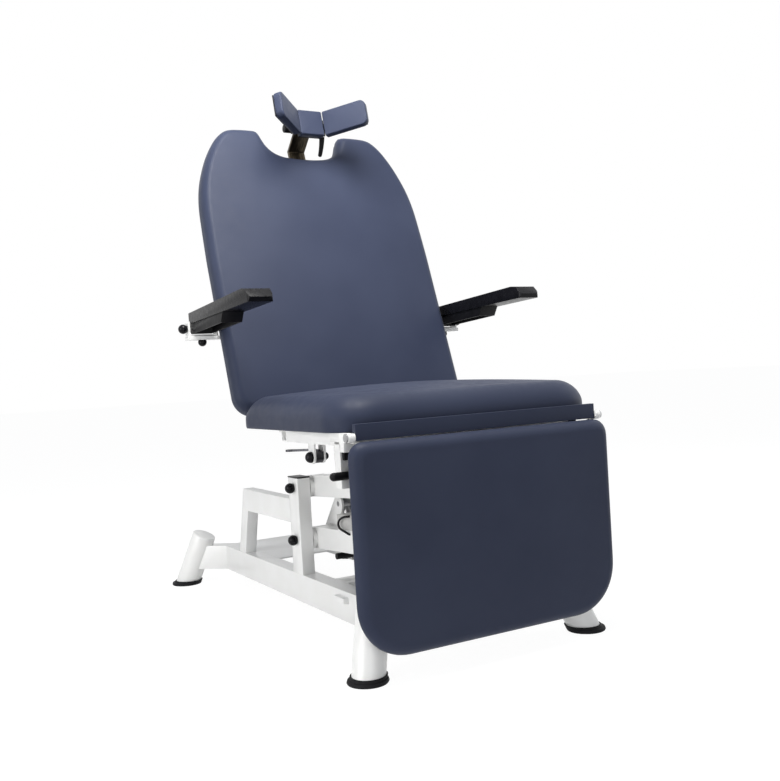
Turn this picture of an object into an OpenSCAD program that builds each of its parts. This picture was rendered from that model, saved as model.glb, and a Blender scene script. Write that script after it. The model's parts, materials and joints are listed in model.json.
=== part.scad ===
// Electric ear, nose and throat examination chair.
// Millimetres, +Z up, +X to the patient's left, the chair faces -Y.
// Inside the modules Y is measured rearwards from the front feet's centre line,
// and chair() then moves everything so that the origin is the middle of the footprint box.

/* [Base] */
// Distance between the front and rear foot centres
wheelbase = 1078; // [1040:1:1300]
// Distance between the left and right foot centres
track = 515; // [500:1:560]
// Diameter of the splayed leg tubes
leg_d = 64; // [58:1:68]
// Height of the middle of a leg tube's top
leg_top_z = 137; // [132:1:150]
// How far a leg's top leans inboard, along X and along Y alike
leg_lean = 43; // [38:1:46]
// Wall of the leg tubes
leg_wall = 3; // [2:0.5:6]
// Diameter of a rubber foot
foot_d = 78; // [74:1:90]
// Height of a rubber foot's flange
foot_h = 7; // [5:1:9]
// Height of a rail above the floor
rail_z = 45; // [40:1:48]
// Height of the rail tube
rail_h = 64; // [60:1:66]
// Width of the rail tube
rail_w = 40; // [36:1:44]
// Wall of the rail tubes
rail_wall = 3; // [2:0.5:5]
// Distance between the outer faces of the rails
rail_span = 350; // [350:1:356]
// Distance from the front feet's centre line to a rail's bend
rail_bend = 100; // [95:1:110]
// Length of the front cross-beam along Y
front_beam_l = 60; // [50:1:70]
// Height of the front cross-beam
front_beam_h = 44; // [40:1:50]
// Length of the rear deck along Y
deck_l = 300; // [260:1:310]
// Thickness of the deck's sheet
deck_t = 4; // [3:0.5:6]
// Depth of the deck's folded rear edge
deck_fold = 30; // [20:1:40]

/* [Uprights] */
// Distance from the front feet to the middle of the uprights
upright_y = 481; // [470:1:490]
// Length of an upright's section along Y
upright_l = 54; // [50:1:60]
// Width of an upright's section along X
upright_w = 30; // [28:1:32]
// Height of the upright's top above the floor
upright_top = 330; // [328:1:345]
// Height of the lower arms' rear pivot
lower_z = 187; // [184:1:190]
// Height between the two rear pivots
pivot_rise = 120; // [118:1:122]
// Height of the brace's top
brace_top = 280; // [276:1:286]
// Height of the brace tube
brace_h = 56; // [50:1:60]
// Depth of the brace's rear post along Y
post_l = 43; // [38:1:48]
// Distance from the upright to the front of the post's top
brace_reach = 278; // [260:1:290]
// How far the foot of the post stands behind its top
post_lean = 35; // [25:1:42]

/* [Lift arms] */
// Length of the arms between their pivots
arm_l = 399; // [390:1:405]
// Height of the arm tubes
arm_h = 48; // [44:1:50]
// Width of the arm tubes
arm_w = 40; // [36:1:42]
// Distance between the arms' outer faces
arm_span = 264; // [262:1:266]
// Wall of the arm tubes
arm_wall = 3; // [2:0.5:5]
// Diameter of the pivot tubes
boss_d = 50; // [49:1:54]
// Angle of the arms above the horizontal in the lowest position
arm_angle = 3.5; // [3:0.1:4]
// Diameter of the pivot bolts
bolt_d = 16; // [12:1:20]
// Diameter of the domed caps on the bolts
dome_d = 24; // [20:1:26]
// Distance of the lift motor's lower pin from the front feet
motor_y = 354; // [352:1:356]
// Height of the lift motor's lower pin
motor_z = 128; // [126:1:130]
// Length of the crank on the lower arms
crank_l = 90; // [88:1:92]
// Distance of the motor's tube from the chair's middle
motor_x = 70; // [68:1:70]

/* [Seat] */
// Width of the upholstery
pad_w = 600; // [596:1:620]
// Distance of the seat's front edge behind the front feet
seat_front = -28; // [-29:1:-24]
// Length of the seat
seat_l = 484; // [470:1:490]
// Height of the seat board's underside
seat_z = 455; // [454:1:458]
// Thickness of the upholstery boards
board_t = 10; // [8:1:12]
// Height of the seat cushion at its crown
seat_pad_h = 72; // [66:1:76]
// Height of the seat frame's main rails
seat_rail_h = 40; // [36:1:42]
// Width of the seat frame's main rails
seat_rail_w = 30; // [28:1:32]
// Side of the seat frame's small square tubes
small_tube = 25; // [22:1:26]
// Height of the front strip
strip_h = 30; // [26:1:34]
// Thickness of the front strip
strip_t = 12; // [10:1:13]

/* [Backrest] */
// Angle of the backrest behind the vertical
back_angle = 19; // [16:0.5:21]
// Height of the backrest, along its face
back_h = 742; // [720:1:770]
// Thickness of the backrest pad at its rim
back_pad_t = 34; // [30:1:38]
// Width of the notch for the headrest, at its rim
notch_w = 214; // [190:1:230]
// Depth of the notch
notch_d = 76; // [70:1:90]

/* [Leg rest] */
// Length of the leg rest pad
leg_pad_h = 389; // [370:1:389]
// Thickness of the leg rest pad at its rim
leg_pad_t = 34; // [30:1:36]
// Angle by which the hanging leg rest's lower edge stands forward
leg_angle = 0; // [0:0.1:1]

/* [Headrest] */
// Width of the headrest's middle pad
head_w = 64; // [56:1:66]
// Height of the headrest's pads
head_h = 66; // [60:1:80]
// Length of a headrest wing
wing_l = 115; // [90:1:118]
// Thickness of the headrest's pads
head_t = 22; // [18:1:23]
// Angle of the wings in front of the middle pad
wing_angle = 46; // [40:1:50]
// Width of the headrest's flat bar
head_bar_w = 45; // [40:1:48]
// Thickness of the headrest's flat bar
head_bar_t = 8; // [6:0.5:8]

/* [Armrests] */
// Length of an armrest pad
armrest_l = 391; // [360:1:410]
// Width of an armrest pad
armrest_w = 54; // [50:1:54]
// Thickness of an armrest pad
armrest_t = 25; // [22:1:30]
// Depth of the shell under an armrest pad
shell_h = 24; // [20:1:24]
// How far the middle of each armrest stands out from the upholstery's side
armrest_out = 32; // [32:1:45]

/* [Hidden] */
$fn = 48;

// Clearances and overruns
weld_gap = 0.2;
run_gap = 0.05;
side_gap = 0.3;
cut = 1;

// Colours
white_paint = [0.93, 0.93, 0.92];
navy = [0.21, 0.24, 0.33];
black = [0.05, 0.05, 0.06];
steel = [0.62, 0.62, 0.64];
pale_grey = [0.78, 0.78, 0.77];
bronze = [0.36, 0.33, 0.28];

// The footprint box, from the leg rest's front to the rear feet
foot_reach = foot_d / 2;
front_reach = 75.5;
foot_shift = 3;
mid_y = (wheelbase + foot_reach + foot_shift / sqrt(2) - front_reach) / 2;

// Legs
leg_tilt = atan(leg_lean * sqrt(2) / leg_top_z);
leg_len = leg_top_z / cos(leg_tilt);
leg_cap = 3;
sleeve_d = 70;
sleeve_top = 12;
tube_foot_z = 4;
rail_top = rail_z + rail_h;
rail_x = (rail_span - rail_w) / 2;
rail_in = rail_span / 2 - rail_w;
leg_off = leg_lean * (rail_z + rail_h / 2) / leg_top_z;
tab_l = 48;
tab_h = 12;
tab_out = 12;
tab_t = 3;
tab_y = 252;
tab_z = 92;
front_beam_y = 312;
deck_y = 692;
lug_t = 6;

// Uprights and braces
upright_x = rail_span / 2 - upright_w;
upright_in = upright_x;
upright_back = upright_y + upright_l / 2;
upper_z = lower_z + pivot_rise;
tube_wall = 3;
plug_t = 3;
plug_lip = 0.8;
plug_depth = 14;
dome_h = 15;
rear_dome_h = 20;
cap_less = 2;

// Arms
boss_wall = 5;
bush_flange = 3;
bush_l = 22;
boss_end = upright_in - bush_flange;
arm_in = arm_span / 2 - arm_w;
upper_boss_in = arm_in + 3;
motor_d = 40;
motor_from = 26;
motor_to = 116;
gear_h = 26;
can_x = 46;
can_l = 78;
plug_d = 14;
plug_z = 27;
plug_x = 128;
rod_d = 20;
crank_angle = 55;
crank_pin_d = 12;
crank_gap = 2.6;
crank_t = 6;
motor_pin_d = 12;
crank_pin_y = upright_y - crank_l * cos(arm_angle + crank_angle);
crank_pin_z = lower_z + crank_l * sin(arm_angle + crank_angle);
motor_len = norm([crank_pin_y - motor_y, crank_pin_z - motor_z]);
motor_lean = atan2(crank_pin_y - motor_y, crank_pin_z - motor_z);
box_w = 112;
box_l = 132;
box_h = 33;
box_plate_t = 2;
box_from = 134;
cable_d = 5;

// Carriage and seat frame
front_low_y = upright_y - arm_l * cos(arm_angle);
front_low_z = lower_z + arm_l * sin(arm_angle);
front_up_z = front_low_z + pivot_rise;
plate_t = 8;
plate_w = 56;
main_x = 141;
main_from = 45;
main_to = 492;
seat_rail_bottom = seat_z - seat_rail_h;
small_z = seat_z - small_tube;
outer_x = 277;
front_bar_y = 20;
mid_bar_y = 262;
rear_bar_y = 462;
post_w = 22;
post_bottom = 352;
bumper_w = 16;
bumper_z = 404;
bumper_h = 46;
hinge_t = 7.5;
hinge_pin_d = 10;
leg_pivot_y = -37;
leg_pivot_z = 447.5;
eye_r = 9;
leg_front = 30.5;
pin_y = 145;
pin_z = 404;
pin_d = 8;
grip_y = 8;
grip_z = 377;
grip_pivot_y = 75;
grip_rod_d = 10;
grip_d = 15.5;
grip_l = 54;
lug_w = 26;
side_lug_t = 4;

// Backrest
back_y = 455;
back_z = 480;
back_low = 10;
frame_n = back_pad_t + board_t;
back_tube_w = 30;
back_tube_t = 25;
back_tube_x = 157.5;
back_tube_top = 596;
hinge_s = -13;
hinge_n = 60.5;
back_hinge_d = 12;
back_hinge_y = back_y + hinge_s * sin(back_angle) + hinge_n * cos(back_angle);
back_hinge_z = back_z + hinge_s * cos(back_angle) - hinge_n * sin(back_angle);
back_eye_r = 13;
lever_r = 50;
lever_a = -20;
spring_y = 360;
spring_z = 395;
spring_pin_d = 8;
spring_gap = 5.5;
spring_d = 22;
spring_rod_d = 10;
spring_body_l = 118;
spring_end_y = back_hinge_y + lever_r * cos(lever_a);
spring_end_z = back_hinge_z + lever_r * sin(lever_a);
spring_len = norm([spring_end_y - spring_y, spring_end_z - spring_z]);
spring_tilt = atan2(spring_end_z - spring_z, spring_end_y - spring_y);
socket_s = 560;
socket_h = 44;
socket_wall = 5;
knob_d = 46;

// Headrest
head_y = 631.5;
head_z = 1200;
head_angle = 12.8;
barrel_n = 43;
barrel_d = 22;
barrel_w = 40;
head_plate_t = 3;
tilt_bolt_d = 10;
bar_gap = 1;
bar_n = frame_n + bar_gap;
bar_low_s = 440;
bend_s = 724;
wing_barrel_d = 6;
wing_pin_d = 3;
wing_gap = 0.8;
wing_hinge_n = head_t + head_plate_t + wing_barrel_d / 2;
wing_off = wing_hinge_n * tan(wing_angle / 2);
wing_hinge_x = head_w / 2 + wing_gap + wing_off;

// Armrests
arm_pivot_y = 592;
arm_pivot_z = 686;
arm_rise = 3.3;
arm_pin_d = 10;
arm_x = pad_w / 2 + armrest_out;
bracket_w = 70;
bracket_t = 4;
bracket_l = 26;
bracket_low = 668;
arm_bar_t = 8;
arm_bar_l = 40;
pad_top = 37;
arm_back = 13;
shell_share = 0.56;

// Moves the whole chair so that the origin is the middle of its footprint box
module chair() translate([0, -mid_y, 0]) children();

// One copy on each side
module both() {
    children();
    mirror([1, 0, 0]) children();
}

// A rectangular tube along Y, between two ends, open at both ends
module tube_y(x, y0, y1, z, w, h, wall) difference() {
    translate([x, y0, z]) cube([w, y1 - y0, h]);
    translate([x + wall, y0 - cut, z + wall]) cube([w - 2 * wall, y1 - y0 + 2 * cut, h - 2 * wall]);
}

// A rectangular tube along X, open at both ends
module tube_x(x0, x1, y, z, l, h, wall) difference() {
    translate([x0, y, z]) cube([x1 - x0, l, h]);
    translate([x0 - cut, y + wall, z + wall]) cube([x1 - x0 + 2 * cut, l - 2 * wall, h - 2 * wall]);
}

// A rectangular tube along Z, open at both ends
module tube_z(x, y, z0, z1, w, l, wall) difference() {
    translate([x, y, z0]) cube([w, l, z1 - z0]);
    translate([x + wall, y + wall, z0 - cut]) cube([w - 2 * wall, l - 2 * wall, z1 - z0 + 2 * cut]);
}

// A round bar along X
module bar_x(x0, x1, y, z, d) translate([x0, y, z]) rotate([0, 90, 0]) cylinder(d = d, h = x1 - x0);

// A domed cap whose flat face stands on x, bulging outwards
module dome(x, y, z, d, h) translate([x, y, z]) rotate([0, 90, 0]) rotate_extrude() intersection() {
    translate([0, h - d / 2]) circle(d = d);
    square([d, h]);
}

// A stack of coordinates for the frames that lean
module back_frame() translate([0, back_y, back_z]) rotate([-back_angle, 0, 0]) children();
module leg_frame() translate([0, leg_pivot_y, leg_pivot_z]) rotate([-leg_angle, 0, 0]) children();
module head_frame() translate([0, head_y, head_z]) rotate([-head_angle, 0, 0]) children();
module arm_frame() translate([0, arm_pivot_y, arm_pivot_z]) rotate([-arm_rise, 0, 0]) children();
module lower_frame() translate([0, upright_y, lower_z]) rotate([-arm_angle, 0, 0]) children();
module upper_frame() translate([0, upright_y, upper_z]) rotate([-arm_angle, 0, 0]) children();

// Base

module leg_axis(sx, front) translate([sx * track / 2, front ? 0 : wheelbase, 0])
    rotate([0, 0, atan2(front ? 1 : -1, -sx)]) rotate([0, leg_tilt, 0]) children();

function rail_line(half) = let (
        bend = atan2(track / 2 - leg_off - rail_x, rail_bend - leg_off),
        slip = half * tan(bend / 2),
        tip_x = track / 2 - leg_off,
        nx = half * cos(bend),
        ny = half * sin(bend))
    [[tip_x + nx, leg_off + ny], [rail_x + half, rail_bend + slip],
     [rail_x + half, wheelbase - rail_bend - slip], [tip_x + nx, wheelbase - leg_off - ny]];

module rail_plan(half) polygon(concat(rail_line(half),
    [for (i = [3:-1:0]) rail_line(-half)[i]]));

module rail() difference() {
    translate([0, 0, rail_z]) linear_extrude(rail_h) rail_plan(rail_w / 2);
    translate([0, 0, rail_z + rail_wall]) linear_extrude(rail_h - 2 * rail_wall)
        rail_plan(rail_w / 2 - rail_wall);
    for (front = [true, false])
        leg_axis(1, front) cylinder(d = leg_d + 2 * weld_gap, h = 2 * leg_len, center = true);
}

module rail_tab() translate([rail_span / 2, tab_y - tab_l / 2, tab_z - tab_h / 2]) difference() {
    cube([tab_out, tab_l, tab_h]);
    translate([-cut, tab_t, -cut]) cube([tab_out - tab_t + cut, tab_l - 2 * tab_t, tab_h - tab_t + cut]);
}

module base_rails() color(white_paint) chair() both() {
    rail();
    rail_tab();
}

module motor_lug(x) translate([x, 0, 0]) rotate([90, 0, 90]) linear_extrude(lug_t) difference() {
    union() {
        translate([motor_y - motor_pin_d, rail_top]) square([2 * motor_pin_d, motor_z - rail_top]);
        translate([motor_y, motor_z]) circle(r = motor_pin_d);
    }
    translate([motor_y, motor_z]) circle(d = motor_pin_d + 2 * run_gap);
}

module cross_beams() color(white_paint) chair() {
    tube_x(-rail_in, rail_in, front_beam_y, rail_top - front_beam_h, front_beam_l, front_beam_h, tube_wall);
    for (x = [-motor_x - rod_d / 2 - side_gap - lug_t, -motor_x + rod_d / 2 + side_gap]) motor_lug(x);
    difference() {
        translate([-rail_in, deck_y, rail_top - deck_fold]) cube([2 * rail_in, deck_l, deck_fold]);
        translate([-rail_in - cut, deck_y - cut, rail_top - deck_fold - cut])
            cube([2 * rail_in + 2 * cut, deck_l - deck_t + cut, deck_fold - deck_t + cut]);
    }
}

module leg_tube(sx, front) difference() {
    leg_axis(sx, front) {
        translate([0, 0, -leg_d]) cylinder(d = leg_d, h = leg_len + leg_d);
        translate([0, 0, leg_len]) cylinder(d1 = leg_d, d2 = leg_d - 2 * leg_cap, h = leg_cap / 2);
    }
    leg_axis(sx, front) translate([0, 0, -2 * leg_d])
        cylinder(d = leg_d - 2 * leg_wall, h = leg_len + 2 * leg_d - leg_cap);
    translate([sx * track / 2 - leg_d, (front ? 0 : wheelbase) - leg_d, -2 * leg_d])
        cube([2 * leg_d, 2 * leg_d, 2 * leg_d + tube_foot_z]);
}

module leg_tubes() color(white_paint) chair()
    for (sx = [-1, 1], front = [true, false]) leg_tube(sx, front);

// A rubber foot: a flat flange, and a sleeve round the splayed tube
module rubber_foot(sx, front) difference() {
    union() {
        for (k = [0, foot_shift]) translate([sx * track / 2 + sx * k / sqrt(2),
                (front ? 0 : wheelbase) + (front ? -1 : 1) * k / sqrt(2), 0]) {
            cylinder(d1 = foot_d - tab_t, d2 = foot_d, h = foot_h / 3);
            translate([0, 0, foot_h / 3]) cylinder(d1 = foot_d, d2 = foot_d - tab_t, h = foot_h * 2 / 3);
        }
        intersection() {
            leg_axis(sx, front) translate([0, 0, -sleeve_d]) cylinder(d = sleeve_d, h = 2 * sleeve_d);
            translate([sx * track / 2 - foot_d, (front ? 0 : wheelbase) - foot_d, foot_h / 2])
                cube([2 * foot_d, 2 * foot_d, sleeve_top - foot_h / 2]);
        }
    }
    intersection() {
        leg_axis(sx, front) translate([0, 0, -leg_d]) cylinder(d = leg_d + 2 * run_gap, h = 3 * leg_d);
        translate([sx * track / 2 - foot_d, (front ? 0 : wheelbase) - foot_d, tube_foot_z])
            cube([2 * foot_d, 2 * foot_d, foot_d]);
    }
}

module rubber_feet() color(black) chair()
    for (sx = [-1, 1], front = [true, false]) rubber_foot(sx, front);

// Uprights

module uprights() color(white_paint) chair() both() difference() {
    tube_z(upright_x, upright_y - upright_l / 2, rail_top, upright_top, upright_w, upright_l, tube_wall);
    for (z = [lower_z, upper_z])
        bar_x(upright_x - cut, upright_x + upright_w + cut, upright_y, z, bolt_d + 2 * run_gap);
}

module upright_plugs() color(black) chair() both() {
    translate([upright_x - plug_lip, upright_y - upright_l / 2 - plug_lip, upright_top])
        cube([upright_w + 2 * plug_lip, upright_l + 2 * plug_lip, plug_t]);
    difference() {
        translate([upright_x + tube_wall + side_gap, upright_y - upright_l / 2 + tube_wall + side_gap,
                upright_top - bolt_d / 3])
            cube([upright_w - 2 * tube_wall - 2 * side_gap, upright_l - 2 * tube_wall - 2 * side_gap,
                bolt_d / 3]);
    }
}

function brace_points(in) = let (slope = post_lean / (brace_top - brace_h - rail_top)) [
    [upright_back - (in > 0 ? cut : 0), brace_top - in],
    [upright_back + brace_reach + post_l - slope * brace_h - in, brace_top - in],
    [upright_back + brace_reach + post_l + post_lean - in + (in > 0 ? slope * cut : 0), rail_top - (in > 0 ? cut : 0)],
    [upright_back + brace_reach + post_lean + in + (in > 0 ? slope * cut : 0), rail_top - (in > 0 ? cut : 0)],
    [upright_back + brace_reach + in - slope * in, brace_top - brace_h + in],
    [upright_back - (in > 0 ? cut : 0), brace_top - brace_h + in]];

module rear_braces() color(white_paint) chair() both() difference() {
    translate([upright_x, 0, 0]) rotate([90, 0, 90]) linear_extrude(upright_w) polygon(brace_points(0));
    translate([upright_x + tube_wall, 0, 0]) rotate([90, 0, 90])
        linear_extrude(upright_w - 2 * tube_wall) polygon(brace_points(tube_wall));
}

bolt_in = upright_in - bush_flange - bush_l;

module base_pins() color(steel) chair() {
    both() for (z = [lower_z, upper_z]) bar_x(bolt_in, rail_span / 2, upright_y, z, bolt_d);
    bar_x(-motor_x - rod_d / 2 - side_gap - lug_t, -motor_x + rod_d / 2 + side_gap + lug_t,
        motor_y, motor_z, motor_pin_d);
}

module rear_pivot_caps() color(black) chair() both() for (z = [lower_z, upper_z])
    dome(rail_span / 2, upright_y, z, dome_d, rear_dome_h);

// Lift arms

module pivot_tube(x0, x1, y) difference() {
    bar_x(x0, x1, y, 0, boss_d);
    bar_x(x0 - cut, x1 + cut, y, 0, boss_d - 2 * boss_wall);
}

module arm_tube() difference() {
    tube_y(arm_in, -arm_l, 0, -arm_h / 2, arm_w, arm_h, arm_wall);
    for (y = [0, -arm_l]) bar_x(arm_in - cut, arm_in + arm_w + cut, y, 0, boss_d + 2 * weld_gap);
}

module crank_plate(x) translate([x, 0, 0]) rotate([90, 0, 90]) linear_extrude(crank_t) difference() {
    hull() {
        circle(d = boss_d + 3 * crank_t);
        rotate(90 + 90 - crank_angle) translate([crank_l, 0]) circle(d = 3.4 * crank_pin_d, $fn = 32);
    }
    circle(d = boss_d + 2 * weld_gap);
    rotate(90 + 90 - crank_angle) translate([crank_l, 0]) circle(d = crank_pin_d + 2 * run_gap);
}

crank_low = -motor_x - rod_d / 2 - side_gap - crank_t;
crank_high = -motor_x + rod_d / 2 + side_gap;

module lower_arms() color(white_paint) chair() lower_frame() {
    pivot_tube(-boss_end, boss_end, 0);
    pivot_tube(-boss_end, boss_end, -arm_l);
    both() arm_tube();
    for (x = [crank_low, crank_high]) crank_plate(x);
    translate([-arm_span / 2, -box_from - box_l, arm_h / 2]) cube([arm_span, box_l, box_plate_t]);
}

module flanged_bush(y) difference() {
    union() {
        bar_x(boss_end - bush_l, boss_end, y, 0, boss_d - 2 * boss_wall - 2 * run_gap);
        bar_x(boss_end, upright_in - run_gap, y, 0, boss_d - 2 * bush_flange);
    }
    bar_x(boss_end - bush_l - cut, upright_in + cut, y, 0, bolt_d + 2 * run_gap);
}

module lower_arm_bushes() color(steel) chair() lower_frame() both() for (y = [0, -arm_l]) flanged_bush(y);

module control_box() color(pale_grey) chair() lower_frame()
    translate([-arm_span / 2 + cut, -box_from - box_l, arm_h / 2 + box_plate_t]) difference() {
        cube([box_w, box_l, box_h]);
        for (y = [box_l / 4, box_l / 2, box_l * 3 / 4]) translate([box_w - cut, y - cut, box_h / 4])
            cube([2 * cut, 2 * cut, box_h / 2]);
    }

// The short motor lead: out of the box's outer side, round in a loop and into the arm tube's side
cable_route = [
    [-131, -196, 50], [-134, -196, 50], [-137.5, -194, 50], [-138.5, -188, 49.5], [-138.8, -180, 48],
    [-139, -172, 46], [-139, -164, 43], [-139, -157, 39], [-139, -153, 33.5], [-139, -154, 28],
    [-139, -159, 23.5], [-139, -167, 20.5], [-139, -176, 18.5], [-138.8, -184, 17],
    [-138.3, -190, 16], [-136.5, -193, 15.6], [-134, -194, 15.5], [-132, -194, 15.5]];

function unit(v) = v / norm(v);
function cable_dir(i) = unit(cable_route[min(i + 1, len(cable_route) - 1)] - cable_route[max(i - 1, 0)]);
function cable_dirs(i) = i == 0 || i == len(cable_route) - 1 ? [i == 0 ? -1 : 1, 0, 0] : cable_dir(i);
cable_sides = 10;
module cable_tube(r) {
    n = len(cable_route);
    points = [for (i = [0:n - 1]) let (t = cable_dirs(i), u = unit(cross(t, [0.02, 0.15, 1])), v = cross(t, u))
        for (k = [0:cable_sides - 1]) cable_route[i]
            + r * (cos(360 * k / cable_sides) * u + sin(360 * k / cable_sides) * v)];
    faces = concat(
        [for (i = [0:n - 2], k = [0:cable_sides - 1]) let (a = i * cable_sides + k,
            b = i * cable_sides + (k + 1) % cable_sides) [a, b, b + cable_sides]],
        [for (i = [0:n - 2], k = [0:cable_sides - 1]) let (a = i * cable_sides + k,
            b = i * cable_sides + (k + 1) % cable_sides) [a, b + cable_sides, a + cable_sides]],
        [[for (k = [cable_sides - 1:-1:0]) k]],
        [[for (k = [0:cable_sides - 1]) (n - 1) * cable_sides + k]]);
    polyhedron(points, faces, convexity = 4);
}

module motor_cable() color(black) chair() lower_frame() cable_tube(cable_d / 2);

module upper_arms() color(white_paint) chair() upper_frame() {
    both() {
        pivot_tube(upper_boss_in, boss_end, 0);
        arm_tube();
    }
    pivot_tube(-boss_end, boss_end, -arm_l);
}

module upper_arm_bushes() color(steel) chair() upper_frame() both() for (y = [0, -arm_l]) flanged_bush(y);

// Lift motor

module motor_frame() translate([-motor_x, motor_y, motor_z]) rotate([-motor_lean, 0, 0]) children();

module lift_motor() color(black) chair() motor_frame() difference() {
    union() {
        bar_x(-rod_d / 2, rod_d / 2, 0, 0, 2 * motor_pin_d);
        cylinder(d = rod_d, h = motor_from + cut);
        translate([0, 0, motor_from]) cylinder(d = motor_d, h = motor_to - motor_from);
        translate([0, -motor_d / 2, motor_from]) cube([can_x, motor_d, gear_h]);
        translate([can_x, 0, motor_from]) cylinder(d = motor_d, h = can_l);
    }
    bar_x(-rod_d, rod_d, 0, 0, motor_pin_d + 2 * run_gap);
    translate([0, 0, motor_from + crank_t]) cylinder(d = rod_d + 2 * run_gap, h = motor_to);
}

module motor_plug() color(black) chair() motor_frame() difference() {
    union() {
        bar_x(motor_x - plug_x, 0, 0, plug_z + plug_d / 2, plug_d);
        bar_x(motor_x - plug_x + plug_d, 0, 0, plug_z + plug_d / 2, plug_d + 2 * plug_t / 3);
    }
    translate([0, 0, motor_from - cut]) cylinder(d = motor_d + 2 * run_gap, h = motor_to);
}

module lift_rod() color(steel) chair() motor_frame() difference() {
    union() {
        translate([0, 0, motor_from + 2 * crank_t]) cylinder(d = rod_d, h = motor_len - motor_from - 2 * crank_t
            - crank_pin_d);
        bar_x(-rod_d / 2, rod_d / 2, 0, motor_len, crank_pin_d + 2 * crank_gap + 2 * crank_t);
    }
    bar_x(-rod_d, rod_d, 0, motor_len, crank_pin_d + 2 * crank_gap);
}

module crank_pin() color(steel) chair()
    bar_x(crank_low, crank_high + crank_t, crank_pin_y, crank_pin_z, crank_pin_d);

// Carriage and seat

module carriage_plate() translate([upright_in, 0, 0]) rotate([90, 0, 90]) linear_extrude(plate_t) difference() {
    union() {
        translate([front_low_y - plate_w / 2, front_low_z]) square([plate_w, seat_rail_bottom - front_low_z]);
        translate([front_low_y, front_low_z]) circle(d = plate_w);
    }
    for (z = [front_low_z, front_up_z]) translate([front_low_y, z]) circle(d = bolt_d + 2 * run_gap);
}

module carriage() color(white_paint) chair() {
    both() carriage_plate();
    tube_x(-upright_in, upright_in, front_low_y - seat_rail_w / 2, seat_rail_bottom - seat_rail_h,
        seat_rail_w, seat_rail_w, tube_wall);
}

// A hinge cheek at the rear of a main rail
module seat_hinge_cheek() translate([main_x + seat_rail_w, 0, 0]) rotate([90, 0, 90])
    linear_extrude(plate_t) difference() {
        union() {
            translate([main_to - 2 * seat_rail_h, seat_rail_bottom])
                square([2 * seat_rail_h, seat_rail_h]);
            polygon([[main_to - seat_rail_h, seat_rail_bottom], [back_hinge_y, back_hinge_z - back_eye_r],
                [back_hinge_y, back_hinge_z + back_eye_r], [main_to - seat_rail_h, seat_z]]);
            translate([back_hinge_y, back_hinge_z]) circle(r = back_eye_r);
        }
        translate([back_hinge_y, back_hinge_z]) circle(d = back_hinge_d + 2 * run_gap);
    }

// The plate that carries the leg rest's pivot
module leg_hinge_plate() translate([outer_x, 0, 0]) rotate([90, 0, 90]) linear_extrude(hinge_t) difference() {
    union() {
        translate([leg_pivot_y, leg_pivot_z - eye_r])
            square([front_bar_y + small_tube - leg_pivot_y, seat_z - leg_pivot_z + eye_r]);
        translate([leg_pivot_y, leg_pivot_z]) circle(r = eye_r);
    }
    translate([leg_pivot_y, leg_pivot_z]) circle(d = hinge_pin_d + 2 * run_gap);
    translate([leg_pivot_y - 2 * eye_r, seat_z]) square([2 * eye_r + small_tube, eye_r]);
}

// A lug that hangs under the side rail, with a hole for a pin
module rail_lug(x, y, z, bottom) translate([x, 0, 0]) rotate([90, 0, 90]) linear_extrude(side_lug_t) difference() {
    union() {
        translate([y - lug_w / 2, z]) square([lug_w, small_z - z]);
        translate([y, z]) circle(d = lug_w);
    }
    translate([y, z]) circle(d = pin_d + 2 * run_gap);
}

lug_out = -outer_x;
lug_mid = -outer_x + small_tube - side_lug_t;

module seat_frame() color(white_paint) chair() {
    both() {
        tube_y(main_x, main_from, main_to, seat_rail_bottom, seat_rail_w, seat_rail_h, tube_wall);
        tube_y(outer_x - small_tube, front_bar_y + small_tube, mid_bar_y, small_z, small_tube, small_tube, tube_wall);
        tube_x(main_x + seat_rail_w, outer_x, mid_bar_y, small_z, small_tube, small_tube, tube_wall);
        tube_z(outer_x - post_w, front_bar_y, post_bottom, small_z, post_w, post_w, tube_wall);
        seat_hinge_cheek();
        leg_hinge_plate();
    }
    tube_x(-outer_x, outer_x, front_bar_y, small_z, small_tube, small_tube, tube_wall);
    tube_x(-main_x, main_x, mid_bar_y, small_z, small_tube, small_tube, tube_wall);
    tube_x(-main_x, main_x, rear_bar_y, seat_z - small_tube + side_lug_t, small_tube, small_tube - side_lug_t,
        tube_wall);
    tube_x(-main_x, main_x, spring_y - small_tube / 2, small_z, small_tube, small_tube, tube_wall);
    for (x = [-spring_eye_w / 2 - side_gap - side_lug_t, spring_eye_w / 2 + side_gap])
        spring_lug(x);
    rail_lug(lug_out, pin_y, pin_z);
    rail_lug(lug_mid, pin_y, pin_z);
    rail_lug(lug_mid, grip_pivot_y, grip_z);
}

spring_eye_w = 14;
module spring_lug(x) translate([x, 0, 0]) rotate([90, 0, 90]) linear_extrude(side_lug_t) difference() {
    union() {
        translate([spring_y - small_tube / 2, spring_z]) square([small_tube, small_z - spring_z]);
        translate([spring_y, spring_z]) circle(d = small_tube);
    }
    translate([spring_y, spring_z]) circle(d = spring_pin_d + 2 * run_gap);
}

module rubber_bumpers() color(black) chair() both()
    translate([outer_x - post_w / 2 - bumper_w / 2, bumper_y, bumper_z])
        cube([bumper_w, front_bar_y - bumper_y, bumper_h]);
bumper_y = 11.2;

module seat_pins() color(steel) chair() {
    both() for (z = [front_low_z, front_up_z]) bar_x(bolt_in, upright_in + plate_t, front_low_y, z, bolt_d);
    bar_x(lug_out, lug_mid + side_lug_t, pin_y, pin_z, pin_d);
    bar_x(lug_mid, lug_mid + side_lug_t + grip_rod_d + 2 * side_lug_t, grip_pivot_y, grip_z, pin_d);
    bar_x(-spring_eye_w / 2 - side_gap - side_lug_t, spring_eye_w / 2 + side_gap + side_lug_t,
        spring_y, spring_z, spring_pin_d);
}

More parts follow.
